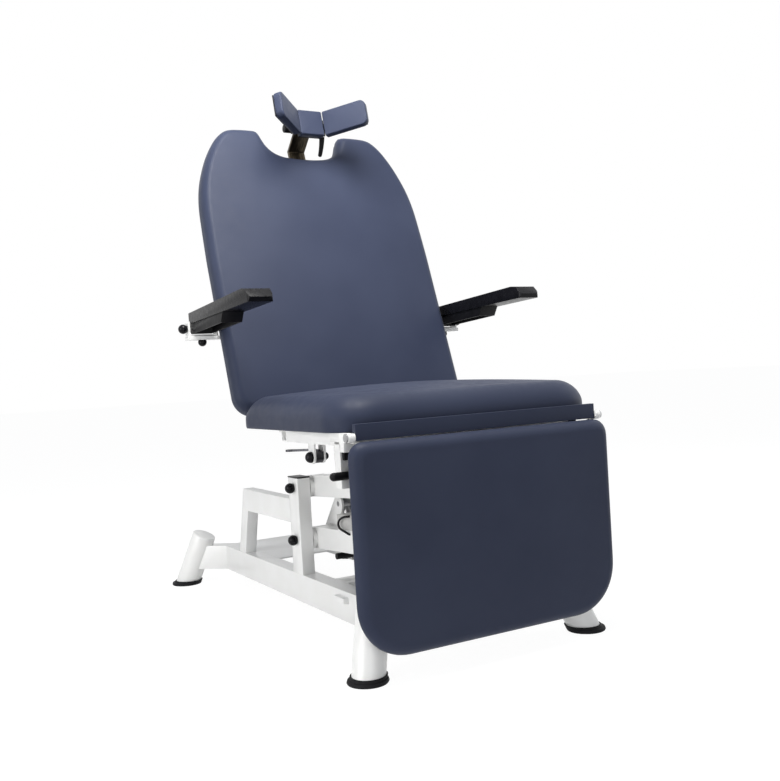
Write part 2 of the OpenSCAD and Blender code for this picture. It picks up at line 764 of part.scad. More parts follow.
module seat_pin_caps() color(black) chair() {
    both() for (z = [front_low_z, front_up_z]) dome(upright_in + plate_t, front_low_y, z, dome_d, dome_h);
    mirror([1, 0, 0]) dome(-lug_out, pin_y, pin_z, dome_d - cap_less, dome_h - cap_less);
    dome(lug_mid + side_lug_t, pin_y, pin_z, dome_d - 2 * side_lug_t, dome_h - side_lug_t);
}

// Cushion outlines, as points with the first corner at the front right, going anticlockwise

function arc(cx, cy, r, a, steps) = [for (i = [0:steps]) [cx + r * cos(a + 90 * i / steps),
    cy + r * sin(a + 90 * i / steps)]];
function round_rect(x0, x1, y0, y1, r_low, r_high, steps) = concat(
    arc(x1 - r_low, y0 + r_low, r_low, -90, steps),
    arc(x1 - r_high, y1 - r_high, r_high, 0, steps),
    arc(x0 + r_high, y1 - r_high, r_high, 90, steps),
    arc(x0 + r_low, y0 + r_low, r_low, 180, steps));

// Inset of a closed outline along its own normals
function side_normal(pts, i) = let (n = len(pts), t = unit(pts[(i + 1) % n] - pts[(i + n - 1) % n]))
    [-t[1], t[0]];
function inset(pts, d) = [for (i = [0:len(pts) - 1]) pts[i] + d * side_normal(pts, i)];
function towards(pts, c, k) = [for (p = pts) c + (p - c) * k];
function lift(pts, h) = [for (p = pts) [p[0], p[1], h]];

// A crowned pad: a flat back at z = 0, sides that round over into the face, and a low crown
edge_steps = 4;
crown_shares = [[0.86, 0.42], [0.66, 0.76], [0.4, 0.94]];
tuck = 3;
function pad_rings(pts, c, t, round_in, round_h, crown, under) = concat(
    [lift(inset(pts, under), 0), lift(pts, under)],
    [for (i = [0:edge_steps]) let (a = 90 * i / edge_steps)
        lift(inset(pts, round_in * (1 - cos(a))), t - round_h + round_h * sin(a))],
    [for (s = crown_shares) lift(towards(inset(pts, round_in), c, s[0]), t + crown * s[1])]);

module ring_solid(rings, low, high) {
    n = len(rings[0]);
    m = len(rings);
    points = concat([for (r = rings) for (p = r) p], [low, high]);
    faces = concat(
        [for (j = [0:m - 2], i = [0:n - 1]) [j * n + i, j * n + (i + 1) % n, (j + 1) * n + (i + 1) % n]],
        [for (j = [0:m - 2], i = [0:n - 1]) [j * n + i, (j + 1) * n + (i + 1) % n, (j + 1) * n + i]],
        [for (i = [0:n - 1]) [(i + 1) % n, i, m * n]],
        [for (i = [0:n - 1]) [(m - 1) * n + i, (m - 1) * n + (i + 1) % n, m * n + 1]]);
    polyhedron(points, [for (f = faces) [f[2], f[1], f[0]]], convexity = 6);
}

module pad(pts, c, t, round_in, round_h, crown, under = tuck)
    ring_solid(pad_rings(pts, c, t, round_in, round_h, crown, under), [c[0], c[1], 0], [c[0], c[1], t + crown]);

board_in = 4;
corner_steps = 6;

// Seat
seat_r_front = 76;
seat_r_rear = 34;
seat_edge = 50;
seat_edge_h = 50;
seat_crown = 14;
seat_points = round_rect(-pad_w / 2, pad_w / 2, seat_front, seat_front + seat_l, seat_r_front, seat_r_rear,
    corner_steps);
seat_mid = [0, seat_front + seat_l / 2];

module seat_board() color(navy) chair() translate([0, 0, seat_z]) linear_extrude(board_t)
    polygon(inset(seat_points, board_in));

module seat_cushion() color(navy) chair() translate([0, 0, seat_z + board_t])
    pad(seat_points, seat_mid, seat_pad_h - seat_crown, seat_edge, seat_edge_h, seat_crown);

strip_y = -43;
strip_z = 441;
strip_half = 275.5;
module front_strip() color(navy) chair() {
    translate([-strip_half, strip_y, strip_z]) cube([2 * strip_half, strip_t, strip_h]);
    for (x = [-main_x - seat_rail_w, -seat_rail_w / 2, main_x])
        translate([x, strip_y + strip_t, small_z + small_tube / 2]) cube([seat_rail_w,
            front_bar_y - strip_y - strip_t, small_tube / 2 - 2]);
}

// Release levers

block_w = small_tube - 2 * side_lug_t - 2 * side_gap;
block_h = 24;
lever_t = 4;
lever_w = 12;
paddle_w = 18;
lever_bend_y = 30;
lever_out_x = -30;
lever_out_y = 62;

module release_lever() color(steel) chair() translate([lug_out + side_lug_t + side_gap + block_w / 2, pin_y, pin_z]) {
    difference() {
        union() {
            bar_x(-block_w / 2, block_w / 2, 0, 0, block_h);
            translate([-block_w / 2, -block_h / 2, 0]) cube([block_w, block_h, block_h / 2 - lever_t / 2]);
        }
        bar_x(-block_w, block_w, 0, 0, pin_d + 2 * run_gap);
    }
    translate([0, 0, block_h / 2 - lever_t / 2]) linear_extrude(lever_t) {
        hull() for (y = [0, lever_bend_y]) translate([0, y]) circle(d = lever_w);
        hull() {
            translate([0, lever_bend_y]) circle(d = lever_w);
            translate([lever_out_x, lever_out_y]) circle(d = lever_w);
        }
        translate([lever_out_x, lever_out_y]) circle(d = paddle_w);
    }
}

grip_arm_x = lug_mid + side_lug_t + side_gap + grip_rod_d;
grip_end = -306;
module grip_lever() color(steel) chair() difference() {
    union() {
        bar_x(grip_arm_x - grip_rod_d, grip_arm_x + side_lug_t, grip_pivot_y, grip_z, 1.8 * grip_rod_d);
        translate([grip_arm_x - grip_rod_d / 2, grip_y, grip_z]) rotate([-90, 0, 0])
            cylinder(d = 0.9 * grip_rod_d, h = grip_pivot_y - grip_y - grip_rod_d / 2);
        translate([grip_arm_x - grip_rod_d / 2, grip_y, grip_z]) sphere(d = 1.12 * grip_rod_d);
        bar_x(grip_end + grip_rod_d, grip_arm_x - grip_rod_d / 2, grip_y, grip_z, grip_rod_d);
    }
    bar_x(grip_arm_x - 2 * grip_rod_d, grip_arm_x + 2 * grip_rod_d, grip_pivot_y, grip_z, pin_d + 2 * run_gap);
}

module lever_grip() color(black) chair() difference() {
    union() {
        bar_x(grip_end + grip_d / 2, grip_end + grip_l, grip_y, grip_z, grip_d);
        translate([grip_end + grip_d / 2, grip_y, grip_z]) sphere(d = grip_d);
    }
    bar_x(grip_end + grip_rod_d, grip_end + grip_l + cut, grip_y, grip_z, grip_rod_d + 2 * run_gap);
}

// Backrest

// Half outline from the side up over the ear and down into the notch: shares of the half width
// and of the height above the straight side
back_ear_shares = [[1, 0], [0.993, 0.22], [0.983, 0.4], [0.957, 0.54], [0.917, 0.655], [0.86, 0.775],
    [0.787, 0.885], [0.715, 0.955], [0.63, 0.992]];
notch_shares = [[1.15, 0.985], [1.055, 0.87], [1.0, 0.7], [0.945, 0.49], [0.83, 0.25], [0.62, 0.08],
    [0.33, 0.015], [0, 0]];
back_side_s = 400;
back_top_s = back_low + back_h;
back_corner = 46;
curve_steps = 3;

function curve_point(a, b, c, d, t) = 0.5 * (2 * b + (c - a) * t + (2 * a - 5 * b + 4 * c - d) * t * t
    + (3 * b - a - 3 * c + d) * t * t * t);
function smooth(p) = [for (i = [0:len(p) - 2], k = [0:curve_steps - 1])
    curve_point(p[max(i - 1, 0)], p[i], p[i + 1], p[min(i + 2, len(p) - 1)], k / curve_steps)];

back_half = concat(
    [for (s = back_ear_shares) [s[0] * pad_w / 2, back_side_s + s[1] * (back_top_s - back_side_s)]],
    [for (s = notch_shares) [s[0] * notch_w / 2, back_top_s - notch_d + s[1] * notch_d]]);
back_curve = smooth(back_half);
back_lower = arc(pad_w / 2 - back_corner, back_low + back_corner, back_corner, -90, corner_steps);
back_right = concat(back_lower, back_curve);
back_points = concat(back_right, [back_half[len(back_half) - 1]],
    [for (i = [len(back_right) - 1:-1:0]) [-back_right[i][0], back_right[i][1]]]);
back_mid = [0, back_top_s / 2];
back_edge = 20;
back_edge_h = 20;
back_crown = 8;

module backrest_cushion() color(navy) chair() back_frame()
    translate([0, back_pad_t, 0]) rotate([90, 0, 0]) pad(back_points, back_mid, back_pad_t, back_edge,
        back_edge_h, back_crown);

module backrest_board() color(navy) chair() back_frame()
    translate([0, frame_n, 0]) rotate([90, 0, 0]) linear_extrude(board_t) polygon(inset(back_points, board_in));

back_bar_s = 385;
back_foot_s = 14;

cheek_x = main_x + seat_rail_w + plate_t + side_gap;
module back_hinge_cheek() translate([cheek_x, 0, 0]) rotate([90, 0, 90]) linear_extrude(plate_t) difference() {
    union() {
        translate([hinge_n, hinge_s]) circle(r = back_eye_r);
        translate([frame_n + side_gap, hinge_s])
            square([back_tube_t - side_gap, back_foot_s - hinge_s]);
    }
    translate([hinge_n, hinge_s]) circle(d = back_hinge_d + 2 * run_gap);
}

spring_end_s = (spring_end_y - back_y) * sin(back_angle) + (spring_end_z - back_z) * cos(back_angle);
spring_end_n = (spring_end_y - back_y) * cos(back_angle) - (spring_end_z - back_z) * sin(back_angle);
spring_lever_w = 22;
module back_lever(x) translate([x, 0, 0]) rotate([90, 0, 90]) linear_extrude(side_lug_t) difference() {
    union() {
        translate([spring_end_n, spring_end_s]) circle(d = spring_lever_w);
        polygon([[spring_end_n - spring_lever_w / 2, spring_end_s], [spring_end_n + spring_lever_w / 2, spring_end_s],
            [frame_n + back_tube_t + spring_lever_w, back_foot_s + back_tube_w],
            [frame_n + back_tube_t, back_foot_s + back_tube_w], [frame_n + back_tube_t, back_foot_s]]);
    }
    translate([spring_end_n, spring_end_s]) circle(d = spring_pin_d + 2 * run_gap);
}

module backrest_frame() color(white_paint) chair() back_frame() {
    both() {
        tube_z(back_tube_x, frame_n, back_foot_s, back_tube_top, back_tube_w, back_tube_t, tube_wall);
        back_hinge_cheek();
    }
    tube_x(-back_tube_x, back_tube_x, frame_n, back_foot_s, back_tube_t, back_tube_w, tube_wall);
    tube_x(-back_tube_x, back_tube_x, frame_n, back_bar_s, back_tube_t, back_tube_w, tube_wall);
    for (x = [-spring_eye_w / 2 - side_gap - side_lug_t, spring_eye_w / 2 + side_gap]) back_lever(x);
}

// The socket that holds the headrest's bar, with its plate across the uprights
module headrest_socket() color(white_paint) chair() back_frame() difference() {
    union() {
        translate([-head_bar_w / 2 - socket_wall, frame_n, socket_s - socket_h / 2])
            cube([head_bar_w + 2 * socket_wall, head_bar_t + 2 * bar_gap + socket_wall, socket_h]);
        translate([-back_tube_x, frame_n + head_bar_t + 2 * bar_gap, socket_s - socket_h / 2])
            cube([2 * back_tube_x, socket_wall, socket_h]);
    }
    translate([-head_bar_w / 2 - run_gap, frame_n - cut, socket_s - socket_h])
        cube([head_bar_w + 2 * run_gap, head_bar_t + bar_gap + cut + run_gap, 2 * socket_h]);
    translate([0, frame_n, socket_s]) rotate([-90, 0, 0]) cylinder(d = pin_d + 2 * run_gap, h = 2 * back_tube_t);
}

knob_gap = 0.4;
module height_knob() color(black) chair() back_frame()
    translate([0, frame_n + head_bar_t + 2 * bar_gap + socket_wall + knob_gap, socket_s]) rotate([-90, 0, 0]) {
        difference() {
            cylinder(d = knob_d, h = knob_d / 2.6);
            for (a = [0:60:300]) rotate(a) translate([knob_d * 0.58, 0, -cut])
                cylinder(d = knob_d * 0.36, h = knob_d, $fn = 24);
        }
        translate([0, 0, -socket_wall - 2 * knob_gap]) cylinder(d = pin_d, h = socket_wall + 2 * knob_gap);
    }

// Gas spring of the backrest

module spring_frame() translate([0, spring_y, spring_z]) rotate([spring_tilt, 0, 0]) children();

module back_spring_tube() color(black) chair() spring_frame() difference() {
    union() {
        bar_x(-spring_eye_w / 2, spring_eye_w / 2, 0, 0, 2 * spring_pin_d);
        translate([0, 0, 0]) rotate([-90, 0, 0]) cylinder(d = spring_pin_d + side_lug_t, h = spring_d);
        translate([0, spring_d * 0.7, 0]) rotate([-90, 0, 0]) cylinder(d = spring_d, h = spring_body_l);
    }
    bar_x(-spring_eye_w, spring_eye_w, 0, 0, spring_pin_d + 2 * run_gap);
    translate([0, spring_d, 0]) rotate([-90, 0, 0])
        cylinder(d = spring_rod_d + 2 * run_gap, h = 2 * spring_body_l);
}

module back_spring_rod() color(steel) chair() spring_frame() difference() {
    union() {
        translate([0, spring_len - spring_body_l + spring_d / 2, 0]) rotate([-90, 0, 0])
            cylinder(d = spring_rod_d, h = spring_body_l - spring_d / 2 - spring_pin_d);
        bar_x(-spring_eye_w / 2, spring_eye_w / 2, spring_len, 0, spring_pin_d + 2 * spring_gap + side_lug_t);
    }
    bar_x(-spring_eye_w, spring_eye_w, spring_len, 0, spring_pin_d + 2 * spring_gap);
}

// Leg rest, in the frame of its pivot

leg_top = -9.5;
leg_r_top = 28;
leg_r_low = 100;
leg_edge = 22;
leg_edge_h = 22;
leg_crown = 8;
leg_tuck = 11;
leg_half = 295;
leg_tube_w = 30;
leg_tube_t = 15;
leg_tube_x = 200;
leg_bar_z = 11;
leg_bar_low = 280;
leg_tube_low = 300;
leg_points = round_rect(-leg_half, leg_half, leg_top - leg_pad_h, leg_top, leg_r_low, leg_r_top, corner_steps + 2);
leg_mid = [0, leg_top - leg_pad_h / 2];
leg_board_n = leg_pad_t - leg_front;
leg_frame_n = leg_board_n + board_t;

module legrest_cushion() color(navy) chair() leg_frame() translate([0, leg_board_n, 0]) rotate([90, 0, 0])
    pad(leg_points, leg_mid, leg_pad_t, leg_edge, leg_edge_h, leg_crown, leg_tuck);

module legrest_board() color(navy) chair() leg_frame() translate([0, leg_frame_n, 0]) rotate([90, 0, 0])
    linear_extrude(board_t) polygon(inset(leg_points, board_in + leg_tuck));

leg_arm_x = outer_x + hinge_t + side_gap;
leg_arm_t = 6;
leg_head_t = 3;
leg_head_d = 16;
module leg_hinge_arm() translate([leg_arm_x, 0, 0]) rotate([90, 0, 90]) linear_extrude(leg_arm_t) difference() {
    union() {
        circle(r = eye_r);
        translate([0, -eye_r]) square([leg_frame_n + leg_tube_t, 1.5 * eye_r]);
        translate([leg_frame_n, -leg_bar_z - leg_tube_w + leg_tube_t])
            square([leg_tube_t, leg_bar_z + leg_tube_w - leg_tube_t]);
    }
    circle(d = hinge_pin_d + 2 * run_gap);
}

module legrest_frame() color(white_paint) chair() leg_frame() {
    tube_x(-leg_arm_x, leg_arm_x, leg_frame_n, -leg_bar_z - leg_tube_t, leg_tube_t, leg_tube_t, tube_wall);
    tube_x(-leg_tube_x, leg_tube_x, leg_frame_n, -leg_bar_low, leg_tube_t, leg_tube_w, tube_wall);
    both() {
        tube_z(leg_tube_x, leg_frame_n, -leg_tube_low, -leg_bar_z - leg_tube_t, leg_tube_w, leg_tube_t, tube_wall);
        leg_hinge_arm();
    }
}

module legrest_pins() color(steel) chair() leg_frame() both() {
    bar_x(outer_x, leg_arm_x + leg_arm_t, 0, 0, hinge_pin_d);
    bar_x(leg_arm_x + leg_arm_t, leg_arm_x + leg_arm_t + leg_head_t, 0, 0, leg_head_d);
}

// Armrests, in the frame of their pivot

shell_front = shell_share * armrest_l;
nose = 18;
module armrest_pad_solid() {
    side = [[arm_back, pad_top - armrest_t], [arm_back, pad_top - armrest_t * 0.25], [arm_back - nose / 3, pad_top],
        [-armrest_l + arm_back + 2 * nose, pad_top], [-armrest_l + arm_back + nose, pad_top - armrest_t * 0.12],
        [-armrest_l + arm_back, pad_top - armrest_t * 0.88], [-armrest_l + arm_back + nose / 4, pad_top - armrest_t]];
    intersection() {
        translate([-armrest_w / 2, 0, 0]) rotate([90, 0, 90]) linear_extrude(armrest_w) polygon(side);
        linear_extrude(2 * pad_top) polygon(round_rect(-armrest_w / 2, armrest_w / 2, -armrest_l + arm_back,
            arm_back, nose / 2, nose / 2, corner_steps));
    }
}

shell_rim = 3;
shell_wall = 3;
module armrest_shell_solid() {
    low = pad_top - armrest_t - shell_h;
    top = pad_top - armrest_t;
    side = [[0, low], [0, 0], [arm_back, 0], [arm_back, top], [-shell_front, top], [-shell_front + nose, low]];
    inner = [[-eye_room, low - cut], [-eye_room, top - shell_wall], [-shell_front + 2 * shell_wall, top - shell_wall],
        [-shell_front + nose + shell_wall, low - cut]];
    difference() {
        translate([-armrest_w / 2 + shell_rim, 0, 0]) rotate([90, 0, 90])
            linear_extrude(armrest_w - 2 * shell_rim) {
                polygon(side);
                circle(r = -low);
            }
        translate([-armrest_w / 2 + shell_rim + shell_wall, 0, 0]) rotate([90, 0, 90])
            linear_extrude(armrest_w - 2 * shell_rim - 2 * shell_wall) polygon(inner);
        bar_x(-armrest_w, armrest_w, 0, 0, arm_pin_d + 2 * run_gap);
    }
}
eye_room = 14;

module right_armrest_pad() color(black) chair() arm_frame() translate([-arm_x, 0, 0]) armrest_pad_solid();
module left_armrest_pad() color(black) chair() arm_frame() translate([arm_x, 0, 0]) armrest_pad_solid();
module right_armrest_shell() color(black) chair() arm_frame() translate([-arm_x, 0, 0]) armrest_shell_solid();
module left_armrest_shell() color(black) chair() arm_frame() translate([arm_x, 0, 0]) armrest_shell_solid();

// The flat bar from the backrest's frame out to the armrest, and the U bracket on its end
module armrest_bars() color(white_paint) chair() both() difference() {
    translate([back_tube_x + back_tube_w, arm_pivot_y - arm_bar_l / 2, bracket_low - arm_bar_t])
        cube([arm_x + bracket_w / 2 - back_tube_x - back_tube_w, arm_bar_l, arm_bar_t]);
    translate([arm_x, arm_pivot_y, bracket_low - 2 * arm_bar_t]) cylinder(d = pin_d + 2 * run_gap, h = 3 * arm_bar_t);
}

cheek_top = 702;
module armrest_brackets() color(white_paint) chair() both() translate([arm_x, 0, 0]) difference() {
    union() {
        translate([-bracket_w / 2, arm_pivot_y - bracket_l / 2, bracket_low]) cube([bracket_w, bracket_l, bracket_t]);
        for (x = [-bracket_w / 2, bracket_w / 2 - bracket_t])
            translate([x, arm_pivot_y - bracket_l / 2, bracket_low])
                cube([bracket_t, bracket_l, cheek_top - bracket_low]);
    }
    bar_x(-bracket_w, bracket_w, arm_pivot_y, arm_pivot_z, arm_pin_d + 2 * run_gap);
    translate([0, arm_pivot_y, bracket_low - cut]) cylinder(d = pin_d + 2 * run_gap, h = 2 * bracket_t);
}

module backrest_pins() color(steel) chair() both() {
    bar_x(main_x + seat_rail_w, cheek_x + plate_t, back_hinge_y, back_hinge_z, back_hinge_d);
    bar_x(arm_x - bracket_w / 2, arm_x + bracket_w / 2, arm_pivot_y, arm_pivot_z, arm_pin_d);
    translate([arm_x, arm_pivot_y, bracket_low - arm_bar_t]) cylinder(d = pin_d, h = arm_bar_t + bracket_t);
}

arm_dome_h = 20;
module armrest_caps() color(black) chair() both() translate([arm_x, 0, 0]) {
    dome(bracket_w / 2, arm_pivot_y, arm_pivot_z, dome_d - cap_less, arm_dome_h);
    translate([0, arm_pivot_y, bracket_low - arm_bar_t]) rotate([0, 90, 0]) dome(0, 0, 0, dome_d - 2 * cap_less, dome_h);
}

// Headrest

bar_mid_n = bar_n + head_bar_t / 2;
bend_y = back_y + bend_s * sin(back_angle) + bar_mid_n * cos(back_angle);
bend_z = back_z + bend_s * cos(back_angle) - bar_mid_n * sin(back_angle);
neck_y = 694;
neck_z = 1187;
barrel_y = head_y + barrel_n * cos(head_angle);
barrel_z = head_z - barrel_n * sin(head_angle);

bar_low = [back_y + bar_low_s * sin(back_angle) + bar_mid_n * cos(back_angle),
    back_z + bar_low_s * cos(back_angle) - bar_mid_n * sin(back_angle)];
bar_line = [bar_low, [bend_y, bend_z], [neck_y, neck_z], [barrel_y, barrel_z]];
bar_dirs = [for (i = [0:2]) unit(bar_line[i + 1] - bar_line[i])];
function mitre(i) = let (a = bar_dirs[max(i - 1, 0)], b = bar_dirs[min(i, 2)], t = unit(a + b),
    k = head_bar_t / 2 / (t[0] * a[0] + t[1] * a[1])) [-t[1] * k, t[0] * k];

module headrest_bar() color(bronze) chair() difference() {
    union() {
        translate([-head_bar_w / 2, 0, 0]) rotate([90, 0, 90]) linear_extrude(head_bar_w)
            polygon(concat([for (i = [0:3]) bar_line[i] + mitre(i)], [for (i = [3:-1:0]) bar_line[i] - mitre(i)]));
        bar_x(-barrel_w / 2, barrel_w / 2, barrel_y, barrel_z, barrel_d);
    }
    bar_x(-head_bar_w, head_bar_w, barrel_y, barrel_z, tilt_bolt_d + 2 * run_gap);
    both() bar_x(barrel_w / 2, head_bar_w, barrel_y, barrel_z, barrel_d + 4 * side_lug_t);
}

ear_t = 5;
knob_l = 22;
collar_l = 11;
collar_d = 15;
plate_in = 1;
wing_in = 6;
wing_eye_h = 10;
wing_barrel_h = 20;

module wing_ear(z) translate([0, 0, z]) difference() {
    union() {
        translate([head_w / 2 - plate_in, head_t, 0])
            cube([wing_hinge_x - head_w / 2 + plate_in, head_plate_t, wing_eye_h]);
        translate([wing_hinge_x, wing_hinge_n, 0]) cylinder(d = wing_barrel_d, h = wing_eye_h);
    }
    translate([wing_hinge_x, wing_hinge_n, -cut]) cylinder(d = wing_pin_d + 2 * run_gap, h = wing_eye_h + 2 * cut);
}

module headrest_cradle() color(black) chair() head_frame() {
    translate([-head_w / 2 + plate_in, head_t, -head_h / 2 + 2 * plate_in])
        cube([head_w - 2 * plate_in, head_plate_t, head_h - 4 * plate_in]);
    for (x = [-barrel_w / 2 - side_gap - ear_t, barrel_w / 2 + side_gap]) {
        translate([x, head_t + head_plate_t, -barrel_d / 2])
            cube([ear_t, barrel_n - head_t - head_plate_t, barrel_d]);
        bar_x(x, x + ear_t, barrel_n, 0, barrel_d);
    }
    bar_x(-barrel_w / 2 - side_gap - ear_t - collar_l, lever_x + lever_hub, barrel_n, 0, tilt_bolt_d);
    bar_x(-barrel_w / 2 - side_gap - ear_t - collar_l, -barrel_w / 2 - side_gap - ear_t, barrel_n, 0, collar_d);
    both() for (z = [-wing_barrel_h / 2 - side_gap - wing_eye_h, wing_barrel_h / 2 + side_gap]) wing_ear(z);
}

module tilt_knob() color(black) chair() head_frame() {
    x = -barrel_w / 2 - side_gap - ear_t - collar_l;
    bar_x(x - knob_l, x, barrel_n, 0, dome_d - 3);
}

module wing_pins() color(steel) chair() head_frame() both()
    translate([wing_hinge_x, wing_hinge_n, -wing_barrel_h / 2 - side_gap - wing_eye_h])
        cylinder(d = wing_pin_d, h = wing_barrel_h + 2 * side_gap + 2 * wing_eye_h);

head_edge = 7;
function head_points(half_w, half_h) = round_rect(-half_w, half_w, -half_h, half_h, 8, 8, 4);

module headrest_pad() color(navy) chair() head_frame() translate([0, head_t, 0]) rotate([90, 0, 0])
    pad(head_points(head_w / 2, head_h / 2), [0, 0], head_t, head_edge, head_edge, plate_in);

// The curved lever that clamps the headrest's tilt
lever_x = barrel_w / 2 + side_gap + ear_t + side_gap;
lever_hub = 24;
lever_rod = 8;
lever_ball_d = 11;
lever_drop = 62;
lever_bow = 120;
module tilt_lever() color(black) chair() head_frame() translate([0, barrel_n, 0]) rotate([head_angle, 0, 0]) {
    difference() {
        union() {
            bar_x(lever_x, lever_x + lever_hub - run_gap, 0, 0, dome_d - 4);
            translate([lever_x + lever_hub - 1.5 * lever_rod, 0, 0]) intersection() {
                rotate([90, 0, 90]) linear_extrude(lever_rod) difference() {
                    translate([lever_bow, 0]) circle(r = lever_bow + lever_rod / 2, $fn = 96);
                    translate([lever_bow, 0]) circle(r = lever_bow - lever_rod / 2, $fn = 96);
                }
                translate([0, -knob_l, -lever_drop]) cube([lever_rod, 3 * knob_l, lever_drop]);
            }
            translate([lever_x + lever_hub - lever_rod, lever_bow - sqrt(lever_bow * lever_bow
                - lever_drop * lever_drop), -lever_drop]) sphere(d = lever_ball_d);
        }
        bar_x(lever_x - cut, lever_x + lever_hub + cut, 0, 0, tilt_bolt_d + 2 * run_gap);
    }
}

// A wing, in the frame of its hinge: first the plate with its eyes, then the pad
module wing_frame() head_frame() translate([wing_hinge_x, wing_hinge_n, 0]) rotate([0, 0, -wing_angle]) children();

wing_pad_n = -wing_barrel_d / 2 - head_plate_t;

module wing_plate() difference() {
    union() {
        translate([wing_off + plate_in, wing_pad_n, -head_h / 2 + wing_in])
            cube([wing_l - plate_in - wing_in, head_plate_t, head_h - 2 * wing_in]);
        translate([0, wing_pad_n, -wing_barrel_h / 2]) cube([wing_off + 2 * plate_in, head_plate_t, wing_barrel_h]);
        translate([0, 0, -wing_barrel_h / 2]) cylinder(d = wing_barrel_d, h = wing_barrel_h);
        translate([-wing_barrel_d / 2, wing_pad_n + head_plate_t - plate_in, -wing_barrel_h / 2])
            cube([wing_barrel_d, wing_barrel_d / 2 + plate_in, wing_barrel_h]);
    }
    translate([0, 0, -wing_barrel_h]) cylinder(d = wing_pin_d + 2 * run_gap, h = 2 * wing_barrel_h);
}

module wing_pad() translate([wing_off + wing_l / 2, wing_pad_n, 0]) rotate([90, 0, 0])
    pad(head_points(wing_l / 2, head_h / 2), [0, 0], head_t, head_edge, head_edge, plate_in);

module left_wing() color(black) chair() wing_frame() wing_plate();
module right_wing() color(black) chair() mirror([1, 0, 0]) wing_frame() wing_plate();
module left_wing_pad() color(navy) chair() wing_frame() wing_pad();
module right_wing_pad() color(navy) chair() mirror([1, 0, 0]) wing_frame() wing_pad();

base_rails();
cross_beams();
leg_tubes();
rubber_feet();
uprights();
upright_plugs();
rear_braces();
base_pins();
rear_pivot_caps();
lower_arms();
lower_arm_bushes();
control_box();
motor_cable();
upper_arms();
upper_arm_bushes();
lift_motor();
motor_plug();
lift_rod();
crank_pin();
carriage();
seat_frame();
seat_board();
seat_cushion();
front_strip();
rubber_bumpers();
seat_pins();
seat_pin_caps();
release_lever();
grip_lever();
lever_grip();
backrest_frame();
backrest_board();
backrest_cushion();
headrest_socket();
armrest_bars();
armrest_brackets();
backrest_pins();
armrest_caps();
height_knob();
back_spring_tube();
back_spring_rod();
legrest_frame();
legrest_board();
legrest_cushion();
legrest_pins();
right_armrest_pad();
right_armrest_shell();
left_armrest_pad();
left_armrest_shell();
headrest_bar();
headrest_cradle();
headrest_pad();
tilt_knob();
wing_pins();
tilt_lever();
right_wing();
right_wing_pad();
left_wing();
left_wing_pad();
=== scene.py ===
import json
import math

import bpy
from mathutils import Matrix, Vector


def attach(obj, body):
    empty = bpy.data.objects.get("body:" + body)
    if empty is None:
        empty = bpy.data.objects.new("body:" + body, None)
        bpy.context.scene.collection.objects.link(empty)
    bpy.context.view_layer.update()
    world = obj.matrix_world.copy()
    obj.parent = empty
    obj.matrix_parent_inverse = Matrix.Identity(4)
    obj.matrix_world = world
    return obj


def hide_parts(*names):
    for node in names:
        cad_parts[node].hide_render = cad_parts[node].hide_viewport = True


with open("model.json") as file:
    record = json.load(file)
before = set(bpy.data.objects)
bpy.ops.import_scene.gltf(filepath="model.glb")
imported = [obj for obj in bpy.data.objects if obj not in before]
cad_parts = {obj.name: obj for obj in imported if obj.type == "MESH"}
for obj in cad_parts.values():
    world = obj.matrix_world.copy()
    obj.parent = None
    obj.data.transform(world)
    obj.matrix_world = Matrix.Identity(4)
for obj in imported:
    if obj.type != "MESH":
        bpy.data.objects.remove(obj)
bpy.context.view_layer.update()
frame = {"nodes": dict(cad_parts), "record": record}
nodes = frame["nodes"]
scene = bpy.context.scene


# The camera stands low, in front and at the sitter's right, as the photographer stood.
# Its place, tilt and lens were solved from the feet, the rails and the upholstery's corners.
MM = 0.001
MIDDLE_Y = 521.811
EYE = (-1027.97, -1503.65, 556.12)
FOCAL_PX = 934.77
PHOTO_PX = 781


def at(x, y, z):
    """A point in millimetres, y from the front feet, as metres from the footprint's middle."""
    return Vector((x, y - MIDDLE_Y, z)) * MM


yaw, pitch, roll = math.radians(29.52), math.radians(-1.021), math.radians(-3.388)
ahead = Vector((math.sin(yaw) * math.cos(pitch), math.cos(yaw) * math.cos(pitch), math.sin(pitch)))
level_right = Vector((math.cos(yaw), -math.sin(yaw), 0))
level_up = level_right.cross(ahead)
right = level_right * math.cos(roll) + level_up * math.sin(roll)
up = level_up * math.cos(roll) - level_right * math.sin(roll)
camera_data = bpy.data.cameras.new("camera")
camera_data.sensor_width = 36
camera_data.lens = FOCAL_PX * camera_data.sensor_width / PHOTO_PX
camera = bpy.data.objects.new("camera", camera_data)
scene.collection.objects.link(camera)
turn = Matrix((right, up, -ahead)).transposed().to_4x4()
camera.matrix_world = Matrix.Translation(at(*EYE)) @ turn
scene.camera = camera


# The short black lead beside the control box: soft rubber sheath, about 5 mm thick.
# It leaves the box's outer side, hangs in a loop and goes back into the lower arm's side.
def srgb(text):
    """A colour as hex text, turned to the linear values that a shader takes."""
    values = [int(text[i:i + 2], 16) / 255 for i in (0, 2, 4)]
    return tuple(v / 12.92 if v <= 0.04045 else ((v + 0.055) / 1.055) ** 2.4 for v in values) + (1,)


def node(tree, kind, settings=None, links=None):
    """Adds one node, with its settings by attribute or input name, and its links as input: socket."""
    made = tree.nodes.new(kind)
    for key, value in (settings or {}).items():
        if isinstance(key, str) and hasattr(made, key):
            setattr(made, key, value)
        else:
            made.inputs[key].default_value = value
    for key, socket in (links or {}).items():
        tree.links.new(socket, made.inputs[key])
    return made


def surface(name):
    """A new material and the Principled shader in it."""
    made = bpy.data.materials.new(name)
    made.use_nodes = True
    made.node_tree.nodes.clear()
    shader = node(made.node_tree, "ShaderNodeBsdfPrincipled")
    node(made.node_tree, "ShaderNodeOutputMaterial", None, {"Surface": shader.outputs[0]})
    return made, made.node_tree, shader


